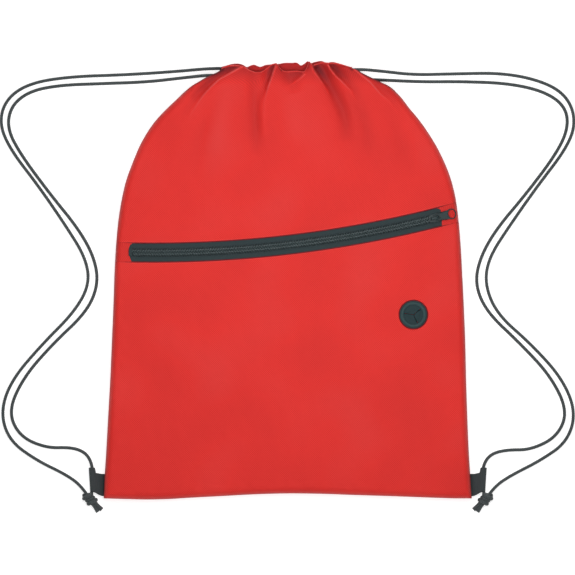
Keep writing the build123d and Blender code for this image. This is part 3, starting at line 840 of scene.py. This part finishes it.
# The mouth's two edges, seen from above.
FRONT_EDGE = [
    (-63.8, 205.4), (-57, 207.6), (-50, 207.8), (-46, 207.4), (-42.3, 206.4), (-36.7, 203.0),
    (-30.5, 201.1), (-24.6, 201.9), (-18.6, 206.4), (-15.7, 208.6), (-13, 209.4), (-10.8, 209.6),
    (-8.3, 206.2), (-5.6, 203.2), (-2, 202.2), (2, 202.1), (8, 202.5), (13, 202.0), (16.6, 202.4),
    (18.8, 206.5), (20.6, 211.2), (23, 208.6), (28, 209.3), (34, 210.8), (37.5, 210.3), (42, 210.4),
    (47, 210.1), (53, 208.4), (58, 206.8), (62.4, 205.2),
]
BACK_EDGE = [
    (-63.8, 207.0), (-60, 208.0), (-54, 209.6), (-47, 209.9), (-43, 208.7), (-39.6, 206.7),
    (-36, 208.2), (-32.5, 209.0), (-29.5, 207.8), (-27, 206.9), (-22, 208.5), (-14, 209.4),
    (-8, 209.8), (-4, 210.6), (4, 210.7), (9.5, 210.6), (12.5, 208.3), (16, 209.8), (19.6, 212.3),
    (22, 210.6), (26, 211.5), (35, 211.8), (37.5, 210.0), (41, 211.4), (46, 211.2), (50, 209.8),
    (55, 208.4), (62.4, 206.6),
]


def mouth_edge(points, columns, back_off):
    """A mouth edge through listed points, that far short of them, to leave room for its fold."""
    x = points[0][0] + (points[-1][0] - points[0][0]) * columns
    return np.stack([x, through(points, x) - back_off], axis=1)


def up_to_mouth(bottom, low, top, columns, share, scallop_from):
    """A panel's plan up to its mouth edge. The edge's scallops fade in from that share of its height."""
    straight = top[0] + (top[-1] - top[0]) * columns[:, None]
    left, right = both_sides(low, top, share)
    left[-1], right[-1] = straight[0], straight[-1]
    scallops = (top - straight)[None] * smooth_step(scallop_from, 1.0, share)[:, None, None]
    return patch(bottom, straight, left, right) + scallops


# The hems: how far each mouth edge's nose bulges, the height in y where the return layer ends,
# the heights between which it comes back to the outer layer, and its level inside the casing.
FRONT_NOSE = 1.6
BACK_NOSE = 1.0
BACK_SHORT = 1.2
HEM_FOOT = 184
HEM_STITCH = (185.0, 191.0)
HEM_GAP = 0.6
FRONT_HEM_LEVEL = 15.7
BACK_HEM_LEVEL = 12.0


def hem_rows(plan, rows, far_level, bulge):
    """Rows of a hem's nose and of its return layer, from the mouth's edge back to the stitch line.

    far_level is the return layer's height.
    """
    kept = np.median(plan[:, :, 1], axis=1) > HEM_FOOT
    edge = rows[-1]
    middle = (edge[:, 2] + far_level) / 2
    half = (edge[:, 2] - far_level) / 2
    hem = []
    for turn in np.radians((18, 42, 66, 90, 114, 138, 162)):
        nose = edge.copy()
        nose[:, 1] += bulge * math.sin(turn)
        nose[:, 2] = middle + half * math.cos(turn)
        hem.append(nose)
    nose_rows = len(hem)
    for row, outer in zip(plan[kept][::-1], rows[kept][::-1]):
        level = outer[:, 2] - np.sign(half) * HEM_GAP
        level += (far_level - level) * smooth_step(*HEM_STITCH, row[:, 1])
        hem.append(lifted(row, level))
    return np.array(hem), nose_rows


UPPER_GRID = (84, 221)
POCKET_GRID = (110, 221)
BACK_GRID = (100, 141)
UNDER_FOLD = 0.8
PORT_HOLE = 11.8
END_CLOTH_DEPTH = 0.22
END_CLOTH_THICK = 0.25
LINING_LEVEL = 12.8
LINING_INSET = 12.0


def front_upper_panel():
    first, last = zip_ends(WINDOW_HALF)
    columns = closer_at_ends(UPPER_GRID[1])
    bearings = first + (last - first) * columns
    bottom = on_zip(bearings, WINDOW_HALF + UNDER_FOLD)
    top = mouth_edge(FRONT_EDGE, columns, FRONT_NOSE)
    share = np.linspace(0, 1, UPPER_GRID[0]) ** 0.9
    plan = up_to_mouth(bottom, bottom[:, 1], top, columns, share, 0.78)
    rows, painted_light_and_tones = surface_rows(plan, front_surface)
    fold, fold_painted_light = zip_fold(bearings, 1)
    hem, _ = hem_rows(plan, rows, FRONT_HEM_LEVEL, FRONT_NOSE)
    # Painted shade inside the hem and a painted highlight on its nose.
    hem_painted_light = np.full(hem.shape[:2], -0.1)
    hem_painted_light[:5] = 0.05
    rows, painted_light_and_tones = np.concatenate([fold, rows, hem]), np.concatenate([fold_painted_light, painted_light_and_tones, hem_painted_light])
    return cloth_sheet("front_panel_upper", "front_upper_panel", rows, painted_light_and_tones)


def front_pocket_panel():
    first, last = zip_ends(-WINDOW_HALF)
    columns = closer_at_ends(POCKET_GRID[1])
    bearings = first + (last - first) * columns
    top = on_zip(bearings, -WINDOW_HALF - UNDER_FOLD)
    bottom = bottom_edge(CORNER_X * (2 * columns - 1))
    left, right = both_sides([-HALF_LENGTH] * 2, top, closer_at_ends(POCKET_GRID[0], 0.5))
    rows, painted_light_and_tones = surface_rows(patch(bottom, top, left, right), front_surface)
    fold, fold_painted_light = zip_fold(bearings, -1)
    rows, painted_light_and_tones = np.concatenate([rows, fold[::-1]]), np.concatenate([painted_light_and_tones, fold_painted_light[::-1]])
    sheet = cloth_sheet("front_pocket", "front_pocket_panel", rows, painted_light_and_tones)
    cut_round_hole(sheet, PORT_CENTRE, PORT_HOLE)
    return sheet


def cut_round_hole(piece, centre, radius):
    """Opens a round hole in a sheet: drops the faces inside it and draws the rest out to its edge."""
    mesh = bmesh.new()
    mesh.from_mesh(piece.data)
    middle = Vector((centre[0] * MM, centre[1] * MM))
    inside = [v for v in mesh.verts if (v.co.xy - middle).length < radius * MM]
    bmesh.ops.delete(mesh, geom=inside, context="VERTS")
    rim = [v for v in mesh.verts if v.is_boundary and (v.co.xy - middle).length < 2 * radius * MM]
    for vertex in rim:
        out = vertex.co.xy - middle
        vertex.co.xy = middle + out.normalized() * radius * MM
    mesh.to_mesh(piece.data)
    mesh.free()


def back_surface(plan):
    """Height of the back panel's lower face: flat on the floor, a little lifted at its edges."""
    away = seam_distance(plan)
    lift = 0.35 + 0.35 * np.exp(-away / 6.0) + 0.25 * np.abs(ripple(plan, 30.0, 7.7))
    # Painted shade: the whole back panel a little darker.
    return lift, np.full(len(plan), -0.1)


def back_panel():
    columns = np.linspace(0, 1, BACK_GRID[1])
    bottom = bottom_edge(np.linspace(-CORNER_X, CORNER_X, BACK_GRID[1]))
    top = mouth_edge(BACK_EDGE, columns, BACK_SHORT)
    share = np.linspace(0, 1, BACK_GRID[0]) ** 0.9
    plan = up_to_mouth(bottom, [-HALF_LENGTH] * 2, top, columns, share, 0.86)
    rows, painted_light_and_tones = surface_rows(plan, back_surface)
    hem, nose_rows = hem_rows(plan, rows, BACK_HEM_LEVEL, BACK_NOSE)
    flat = hem[nose_rows:, :, :2].reshape(-1, 2)
    ruffle = 1.7 * ripple(flat * (1.0, 0.25), 11.0, 2.2) + 0.8 * ripple(flat * (1.0, 0.3), 5.5, 6.1)
    ruffle = np.maximum(ruffle + 0.5, -0.9) * smooth_step(189, 200, flat[:, 1])
    ruffle = ruffle.reshape(-1, BACK_GRID[1])
    hem[:nose_rows, :, 2] += ruffle[0] * smooth_step(0, nose_rows - 1, np.arange(nose_rows))[:, None]
    hem[nose_rows:, :, 2] += ruffle
    # Painted shade inside the mouth: the back hem is painted dark.
    rows, painted_light_and_tones = np.concatenate([rows, hem]), np.concatenate([painted_light_and_tones, np.full(hem.shape[:2], -0.5)])
    return cloth_sheet("back_panel_cloth", "back_panel", rows, painted_light_and_tones, facing=-1)


def zip_end_cloth(name, node, side, edge):
    """The cloth over one end of the zipper. edge lists its inner edge as (x, offset) pairs."""
    columns = 16
    offsets = np.linspace(-WINDOW_HALF, WINDOW_HALF, 25)
    edge = np.array(edge, float)
    plan = []
    for offset in offsets:
        inner = zip_bearing(np.interp(offset, edge[:, 1], edge[:, 0]), offset)
        outer = zip_ends(offset)[0 if side < 0 else 1]
        plan.append(on_zip(np.linspace(inner, outer, columns), offset))
    rows, painted_light_and_tones = surface_rows(np.array(plan), front_surface)
    rows[:, :, 2] -= END_CLOTH_DEPTH
    heading = rows[:, 0] - rows[:, 1]
    heading[:, 2] = 0
    heading /= np.linalg.norm(heading, axis=1)[:, None]
    fold = [
        rows[:, 0] + heading * reach - np.array([0, 0, depth])
        for reach, depth in ((-4.0, 0.42), (-0.6, 0.42), (0.12, 0.34), (0.3, 0.2), (0.2, 0.06))
    ]
    rows = np.concatenate([np.array(fold), rows.transpose(1, 0, 2)])
    # Painted highlight on the fold and painted shade on the rest of the end cloth.
    painted_light_and_tones = np.concatenate([np.full((len(fold), len(offsets)), 0.2), painted_light_and_tones.T - 0.12])
    return cloth_sheet(name, node, rows, painted_light_and_tones, END_CLOTH_THICK)


def pocket_lining():
    """The pocket's back layer, hidden inside the bag."""
    count = 61
    half = CORNER_X - LINING_INSET
    bottom = bottom_edge(np.linspace(-half, half, count)) + (0, LINING_INSET)
    top = on_zip(np.linspace(zip_bearing(-150.0, 15.0), zip_bearing(148.0, 15.0), count), 15.4)
    share = np.linspace(0, 1, count)
    left, right = [bottom[end] + (top[end] - bottom[end]) * share[:, None] for end in (0, -1)]
    plan = patch(bottom, top, left, right)
    level = LINING_LEVEL + 0.4 * ripple(plan.reshape(-1, 2), 40.0, 4.4).reshape(plan.shape[:2])
    rows = lifted(plan, level + smooth_step(0.94, 1.0, share)[:, None] * 7.6)
    # Painted shade: the lining is a little darker.
    return cloth_sheet("pocket_lining", "pocket_backing", rows, np.full(rows.shape[:2], -0.1))


upper = front_upper_panel()
pocket = front_pocket_panel()
back = back_panel()
end_left = zip_end_cloth(
    "zipper_end_cloth_left",
    "zipper_end_left",
    -1,
    [(-151.0, -9.6), (-153.0, -4.0), (-154.0, 0.5), (-153.6, 4.0), (-152.6, 7.0), (-150.2, 8.8),
     (-146.5, 9.6)],
)
end_right = zip_end_cloth(
    "zipper_end_cloth_right",
    "zipper_end_right",
    1,
    [(149.3, -9.6), (149.0, 0.0), (148.6, 4.5), (147.4, 7.0), (145.0, 8.6), (140.5, 9.6)],
)
lining = pocket_lining()

# ---- Zipper: tapes from the CAD, coils as real turns ----
dress("zipper_tape_upper", TAPE)
dress("zipper_tape_lower", TAPE)

COIL_PITCH = 2.5
COIL_WIRE = 0.55
COIL_MIDDLE = 22.25
COIL_RISE = 0.6
STITCH_OFFSET = 3.0
STITCH_LEVEL = 23.14
STITCH_WIRE = 0.17


def zipper_coil(side, name, node):
    """One coil: loops of filament whose heads reach past the centre line, between the other's."""
    start, end = zip_bearing(WINDOW_LEFT + 3.2), zip_bearing(WINDOW_RIGHT - 1.6)
    turns = int((end - start) * ZIP_RADIUS / COIL_PITCH)
    steps = 16
    angle = np.arange(turns * steps + 1) * 2 * math.pi / steps
    half = 0.0 if side > 0 else COIL_PITCH / 2
    slant = 0.95 * np.cos(angle)
    along = COIL_PITCH * angle / (2 * math.pi) + half - slant
    offset = side * (1.55 - 2.05 * np.cos(angle))
    level = COIL_MIDDLE + COIL_RISE * np.sin(angle)
    plan = on_zip(start + along / ZIP_RADIUS, offset)
    wire = tube(lifted(plan, level), COIL_WIRE)
    core_bearings = np.linspace(start, start + (along[-1] + 0.4) / ZIP_RADIUS, 160)
    core = tube(lifted(on_zip(core_bearings, side * 1.6), COIL_MIDDLE - 0.1), 1.0, around=8)
    points, faces = joined([wire, core])
    # Painted highlight on the top of each turn.
    painted_crown_highlight = smooth_step(COIL_MIDDLE + 0.75, COIL_MIDDLE + 1.12, points[:, 2])
    add_mesh(name, points, faces, COIL, "zipper_coil", values={"painted_crown_highlight": painted_crown_highlight}, node=node)


zipper_coil(1, "coil_upper", "zipper_coil_upper")
zipper_coil(-1, "coil_lower", "zipper_coil_lower")


def coil_seams():
    """The two rows of stitches that hold each coil down on its tape."""
    start, end = zip_bearing(WINDOW_LEFT + 3.0), zip_bearing(WINDOW_RIGHT - 1.5)
    level = STITCH_LEVEL + 0.16 * np.cos(np.linspace(-1.5, 1.5, 7))
    stitches = []
    for offset in (-STITCH_OFFSET, STITCH_OFFSET):
        for number in range(int((end - start) * ZIP_RADIUS / COIL_PITCH)):
            middle = start + (number + 0.5) * COIL_PITCH / ZIP_RADIUS
            plan = on_zip(middle + np.linspace(-0.95, 0.95, 7) / ZIP_RADIUS, offset)
            stitches.append(tube(lifted(plan, level), STITCH_WIRE, around=5))
    add_mesh("coil_seams", *joined(stitches), TAPE, "zipper_tape")


coil_seams()

for node in ("zipper_bottom_stop", "zipper_top_stops"):
    rounding = dress(node, TAPE).modifiers.new("rounding", "BEVEL")
    rounding.width = 0.25 * MM
    rounding.segments = 3


# ---- Slider and pull tab ----
SLIDER_X = 141.9
PIVOT_LEVEL = 26.4
UPPER_PLATE = (23.7, 24.7)
LOWER_PLATE = (19.3, 20.3)
FLANGES = (21.5, 23.8)
BRIDGE_FOOT = 24.55
BRIDGE_TOP = 28.4
PULL_HALF = 0.72
PULL_RING_X = 16.9
TAB_TILT = math.radians(4.5)


def slider_frame(level, tilt=0.0):
    """Origin, along, across and up of a plane on the slider, in millimetres."""
    bearing = float(zip_bearing(SLIDER_X))
    along = np.array([-math.sin(bearing), math.cos(bearing), 0.0])
    across = np.array([-along[1], along[0], 0.0])
    up = np.array([0.0, 0.0, 1.0])
    origin = np.append(on_zip(bearing, 0.0), level)
    leaned = along * math.cos(tilt) - up * math.sin(tilt)
    return origin, leaned, across, np.cross(leaned, across)


def placed(points, plane):
    """Points given along, across and above a plane, in the bag's frame."""
    origin, along, across, up = plane
    return origin + points[:, :1] * along + points[:, 1:2] * across + points[:, 2:] * up


def mirrored(outline):
    """The other half of an outline that is the same on both sides of y = 0."""
    return [(x, -y) for x, y in outline[::-1]]


def plate(outlines, low, high, bevel, plane):
    """A flat plate from closed outlines, the first its edge and the rest its holes, as one mesh."""
    curve = bpy.data.curves.new("plate", "CURVE")
    curve.dimensions = "2D"
    curve.fill_mode = "BOTH"
    curve.extrude = (high - low) / 2 - bevel
    curve.bevel_depth = bevel
    curve.bevel_resolution = 3
    curve.offset = -bevel
    for outline in outlines:
        spline = curve.splines.new("POLY")
        spline.points.add(len(outline) - 1)
        for point, (x, y) in zip(spline.points, outline):
            point.co = (x, y, 0, 1)
        spline.use_cyclic_u = True
    holder = bpy.data.objects.new("plate", curve)
    mesh = bpy.data.meshes.new_from_object(holder)
    flat = np.array([vertex.co for vertex in mesh.vertices], float)
    faces = [tuple(polygon.vertices) for polygon in mesh.polygons]
    bpy.data.objects.remove(holder)
    bpy.data.meshes.remove(mesh)
    flat[:, 2] += (low + high) / 2
    return placed(flat, plane), faces


def rounded_outline(corners, radius, steps=6):
    """A closed outline with its corners rounded. corners go anticlockwise."""
    corners = np.array(corners, float)
    points = []
    for before, corner, after in zip(np.roll(corners, 1, 0), corners, np.roll(corners, -1, 0)):
        to_before = (before - corner) / np.linalg.norm(before - corner)
        to_after = (after - corner) / np.linalg.norm(after - corner)
        reach = min(radius, 0.45 * np.linalg.norm(before - corner), 0.45 * np.linalg.norm(after - corner))
        start, end = corner + to_before * reach, corner + to_after * reach
        for t in np.linspace(0, 1, steps):
            points.append((1 - t) ** 2 * start + 2 * t * (1 - t) * corner + t**2 * end)
    return points


def oval(x, half_x, half_y, steps=40):
    angles = np.linspace(0, 2 * math.pi, steps, endpoint=False)
    return [(x + half_x * math.cos(angle), half_y * math.sin(angle)) for angle in angles]


def arch(plane, reach, width, thick, top):
    """The slider's bridge: a flat strip bent over the pull tab's pivot."""
    angles = np.linspace(0, math.pi, 25)
    power = 0.55
    x = -reach * np.sign(np.cos(angles)) * np.abs(np.cos(angles)) ** power
    outer = np.stack([x, top * np.sin(angles) ** power], axis=1)
    inner = outer * ((reach - thick) / reach, (top - thick) / top)
    half = width / 2
    face_half = half - 0.22
    rings = []
    for (xo, zo), (xi, zi) in zip(outer, inner):
        rings += [(xo, -face_half, zo), (xo, face_half, zo), (xo * 0.985, half, zo - 0.12)]
        rings += [(xi, half, zi), (xi, -half, zi), (xo * 0.985, -half, zo - 0.12)]
    faces = grid_faces(len(outer), 6, closed=True)
    faces.append((0, 1, 2, 3, 4, 5))
    last = (len(outer) - 1) * 6
    faces.append(tuple(last + corner for corner in (5, 4, 3, 2, 1, 0)))
    return placed(np.array(rings), plane), faces


def zipper_slider():
    half = [(5.7, 3.9), (2.6, 4.6), (-2.0, 3.9), (-5.6, 3.5)]
    outline = rounded_outline(mirrored(half) + half, 1.8)
    flange = [(-3.6, 3.75), (2.6, 4.1), (3.2, 4.5), (-3.6, 4.2)]
    level = slider_frame(0.0)
    parts = [
        plate([outline], *UPPER_PLATE, 0.35, level),
        plate([outline], *LOWER_PLATE, 0.3, level),
        plate([flange], *FLANGES, 0.1, level),
        plate([mirrored(flange)], *FLANGES, 0.1, level),
        arch(slider_frame(BRIDGE_FOOT), 4.2, 2.4, 0.85, BRIDGE_TOP - BRIDGE_FOOT),
    ]
    add_mesh("slider", *joined(parts), ENAMEL, "slider_enamel", body="slider", node="slider_body")


def zipper_pull():
    plane = slider_frame(PIVOT_LEVEL, TAB_TILT)
    side = [(-0.75, 2.2), (0.0, 3.0), (1.6, 3.4), (4.6, 3.5), (8.0, 3.9), (11.4, 4.4)]
    turns = np.linspace(-2.15, 2.15, 36)
    ring = [(16.5 + 4.8 * math.cos(turn), 5.2 * math.sin(turn)) for turn in turns]
    outline = [(x, -y) for x, y in side] + ring + side[::-1]
    eye = rounded_outline([(0.8, -1.8), (5.3, -1.8), (5.3, 1.8), (0.8, 1.8)], 0.6)
    hole = oval(PULL_RING_X, 3.35, 4.1)
    parts = [plate([outline, eye[::-1], hole[::-1]], -PULL_HALF, PULL_HALF, 0.3, plane)]
    turns = np.linspace(0, 2 * math.pi, 49)
    rims = [
        [(PULL_RING_X + 3.85 * math.cos(turn), 4.6 * math.sin(turn), 0.6) for turn in turns],
        [(x, y - 0.45, 0.66) for x, y in side[2:]],
        [(x, 0.45 - y, 0.66) for x, y in side[2:]],
    ]
    parts += [tube(placed(np.array(rim), plane), 0.34, around=8) for rim in rims]
    add_mesh("pull", *joined(parts), ENAMEL, "slider_enamel", body="pull_tab", node="pull_tab")


zipper_slider()
zipper_pull()


# ---- Earbud port ----
BAG_PLANE = (np.zeros(3), *np.eye(3))
SLIT_RADIUS = 9.0
SLIT_BEARINGS = (172.0, 38.0, -65.0)
MEMBRANE = (21.8, 22.4)
MEMBRANE_RADIUS = 9.35
PORT_PROFILE = [
    (9.3, 20.3), (9.3, 22.1), (9.36, 22.7), (9.6, 23.1), (10.1, 23.32), (11.0, 23.4), (11.9, 23.36),
    (12.1, 23.2), (12.25, 22.9), (12.35, 22.7), (12.5, 22.9), (12.7, 23.02), (12.95, 22.96),
    (13.2, 22.6), (13.3, 22.3), (13.25, 22.02), (12.3, 22.0), (10.75, 22.0), (10.7, 21.2),
    (10.7, 20.2), (9.6, 20.2),
]
PORT_STRETCH = (0.995, 1.005)
PRESSED_SHADOW_RING_RADIUS = 13.75
FLAP_GAP = 0.22
FLAP_INSET = 0.36


def about_port(radius, turns):
    """Plan points round the port's centre."""
    return np.array(PORT_CENTRE) + radius * np.stack([np.cos(turns), np.sin(turns)], axis=1)


SLIT_ENDS = about_port(SLIT_RADIUS, np.radians(SLIT_BEARINGS))


def earbud_port():
    """The moulded ring, and the edge of the membrane outside the lines that the flaps bend along."""
    around = 96
    turns = np.linspace(0, 2 * math.pi, around, endpoint=False)
    rows = [
        lifted(about_port(np.multiply(PORT_STRETCH, radius), turns), level)
        for radius, level in [*PORT_PROFILE, PORT_PROFILE[0]]
    ]
    parts = [(np.array(rows).reshape(-1, 3), grid_faces(len(rows), around, closed=True))]
    for number, first in enumerate(SLIT_BEARINGS):
        following = (number + 1) % 3
        span = (first - SLIT_BEARINGS[following]) % 360
        bow = about_port(MEMBRANE_RADIUS, np.radians(first - np.linspace(0, span, 17)))
        outline = [*bow, SLIT_ENDS[following], SLIT_ENDS[number]]
        parts.append(plate([outline[::-1]], *MEMBRANE, 0.02, BAG_PLANE))
    points, faces = joined(parts)
    # Painted highlight on the ring's raised top.
    painted_raised_highlight = {"painted_raised_highlight": smooth_step(22.5, 23.3, points[:, 2])}
    add_mesh("port", points, faces, RUBBER, "port_rubber", values=painted_raised_highlight, node="earbud_port")
    # A raised cloth ring round the port, painted darkest all over: a painted shadow round the rubber.
    rim = lifted(about_port(PRESSED_SHADOW_RING_RADIUS, turns), 22.0)
    points, faces = tube(np.vstack([rim, rim[:1]]), 0.62, around=10)
    painted_light_and_tones = {"painted_light_and_tone": np.full(len(points), -1.0)}
    add_mesh("pressed_cloth_painted_shadow", points, faces, RED, "red_fabric", uv=points[:, :2] * MM, values=painted_light_and_tones)


def port_flap(number):
    """One flap of the membrane, with a slightly raised lip along its two slits."""
    tip = np.array(PORT_CENTRE)
    first, second = SLIT_ENDS[number], SLIT_ENDS[(number + 1) % 3]
    inward_first = (second - tip) / np.linalg.norm(second - tip)
    inward_second = (first - tip) / np.linalg.norm(first - tip)
    apex = tip + (inward_first + inward_second) * FLAP_GAP
    outline = np.array([apex, second + inward_second * FLAP_INSET, first + inward_first * FLAP_INSET])
    parts = [plate([outline], *MEMBRANE, 0.02, BAG_PLANE)]
    for end in outline[1:]:
        plan = apex + (end - apex) * np.linspace(0.04, 0.84, 12)[:, None]
        inside = (outline.mean(0) - plan) * 0.05
        parts.append(tube(lifted(plan + inside, MEMBRANE[1] - 0.08), 0.22, around=8))
    body = f"flap_{number + 1}"
    add_mesh(body, *joined(parts), RUBBER, "port_rubber", body=body, node=f"port_{body}")


earbud_port()
for number in range(3):
    port_flap(number)
dress("port_backing_ring", RUBBER)


# ---- Corner tabs: webbing folded round each cord ----
TUNNEL_X = 189.2
TUNNEL_LEVEL = 3.2
TUNNEL_REACH = 2.35
TAB_THICK = 0.7
TAB_LEVELS = (3.55, 2.75)
TAB_ENDS = (-209.4, -187.8)


def corner_tab(side, name, node):
    """Webbing that comes out of the side seam, goes round the cord and returns into the seam."""
    upper_x = np.linspace(175.5, 187.7, 26)
    angles = np.radians(np.linspace(118, -118, 25))
    wrap_x = TUNNEL_X + TUNNEL_REACH * np.cos(angles)
    wrap_z = TUNNEL_LEVEL + TUNNEL_REACH * np.sin(angles)
    joining = smooth_step(183.0, 188.0, upper_x)
    upper_z, lower_z = [
        level + (wrap_z[end] - level) * joining for level, end in zip(TAB_LEVELS, (0, -1))
    ]
    path_x = np.concatenate([upper_x, wrap_x, upper_x[::-1]])
    path_z = np.concatenate([upper_z, wrap_z, lower_z[::-1]])
    low_y = TAB_ENDS[0] + 4.2 * smooth_step(178.5, 191, path_x)
    top_y = TAB_ENDS[1] + 0.9 * smooth_step(180, 186, path_x) + 5.2 * smooth_step(185.8, 186.5, path_x)
    along = np.concatenate([[0], np.cumsum(np.hypot(np.diff(path_x), np.diff(path_z)))])
    rows = []
    count = 25
    for share in np.linspace(0, 1, count):
        y = low_y + (top_y - low_y) * share
        lean = 0.75 * (2 * share - 1) * smooth_step(184, 187, path_x)
        rows.append(np.stack([side * (path_x + lean), y, path_z], axis=1))
    points = np.concatenate(rows)
    uv = np.stack([np.tile(along, count), points[:, 1]], axis=1) * MM
    faces = grid_faces(count, len(path_x))
    if side < 0:
        faces = [face[::-1] for face in faces]
    thicken(add_mesh(name, points, faces, WEBBING, "webbing", uv=uv, node=node), TAB_THICK, 1)


corner_tab(-1, "corner_tab_left", "tab_left")
corner_tab(1, "corner_tab_right", "tab_right")


# ---- Floor, light and world ----
def studio():
    """A wide white floor, a pale sky and three soft lights."""
    white = Nodes("floor_white", 0.9, specular=0.1)
    colour = white.mix(white.noise(white.object_place(), 3.0), (0.54, 0.54, 0.54), (0.56, 0.56, 0.56))
    white.set("Emission Color", (1, 1, 1, 1))
    white.set("Emission Strength", 0.74)
    mesh = bpy.data.meshes.new("floor")
    half = 6.0
    corners = [(-half, -half, 0), (half, -half, 0), (half, half, 0), (-half, half, 0)]
    mesh.from_pydata(corners, [], [(0, 1, 2, 3)])
    mesh.materials.append(white.finish(colour))
    floor = bpy.data.objects.new("floor", mesh)
    floor.location.z = -0.0002
    bpy.context.scene.collection.objects.link(floor)
    world = bpy.data.worlds.new("studio")
    world.use_nodes = True
    sky = world.node_tree.nodes["Background"]
    sky.inputs["Color"].default_value = (1, 1, 1, 1)
    sky.inputs["Strength"].default_value = 0.3
    bpy.context.scene.world = world
    for name, place, target, size, energy in (
        ("key", (0.03, 0.07, 0.72), (0.02, 0.09, 0.0), 0.42, 4.0),
        ("low", (0.12, -1.3, 0.8), (0.0, 0.2, 0.0), 0.4, 2.4),
        ("far", (-0.1, 1.25, 0.75), (0.0, 0.2, 0.0), 0.5, 2.6),
    ):
        data = bpy.data.lights.new(name, "AREA")
        data.shape = "SQUARE"
        data.size = size
        data.energy = energy
        light = bpy.data.objects.new(name, data)
        light.location = place
        light.rotation_euler = (Vector(target) - Vector(place)).to_track_quat("-Z", "Y").to_euler()
        light.visible_camera = False
        bpy.context.scene.collection.objects.link(light)
    bpy.context.scene.view_settings.view_transform = "Standard"


studio()
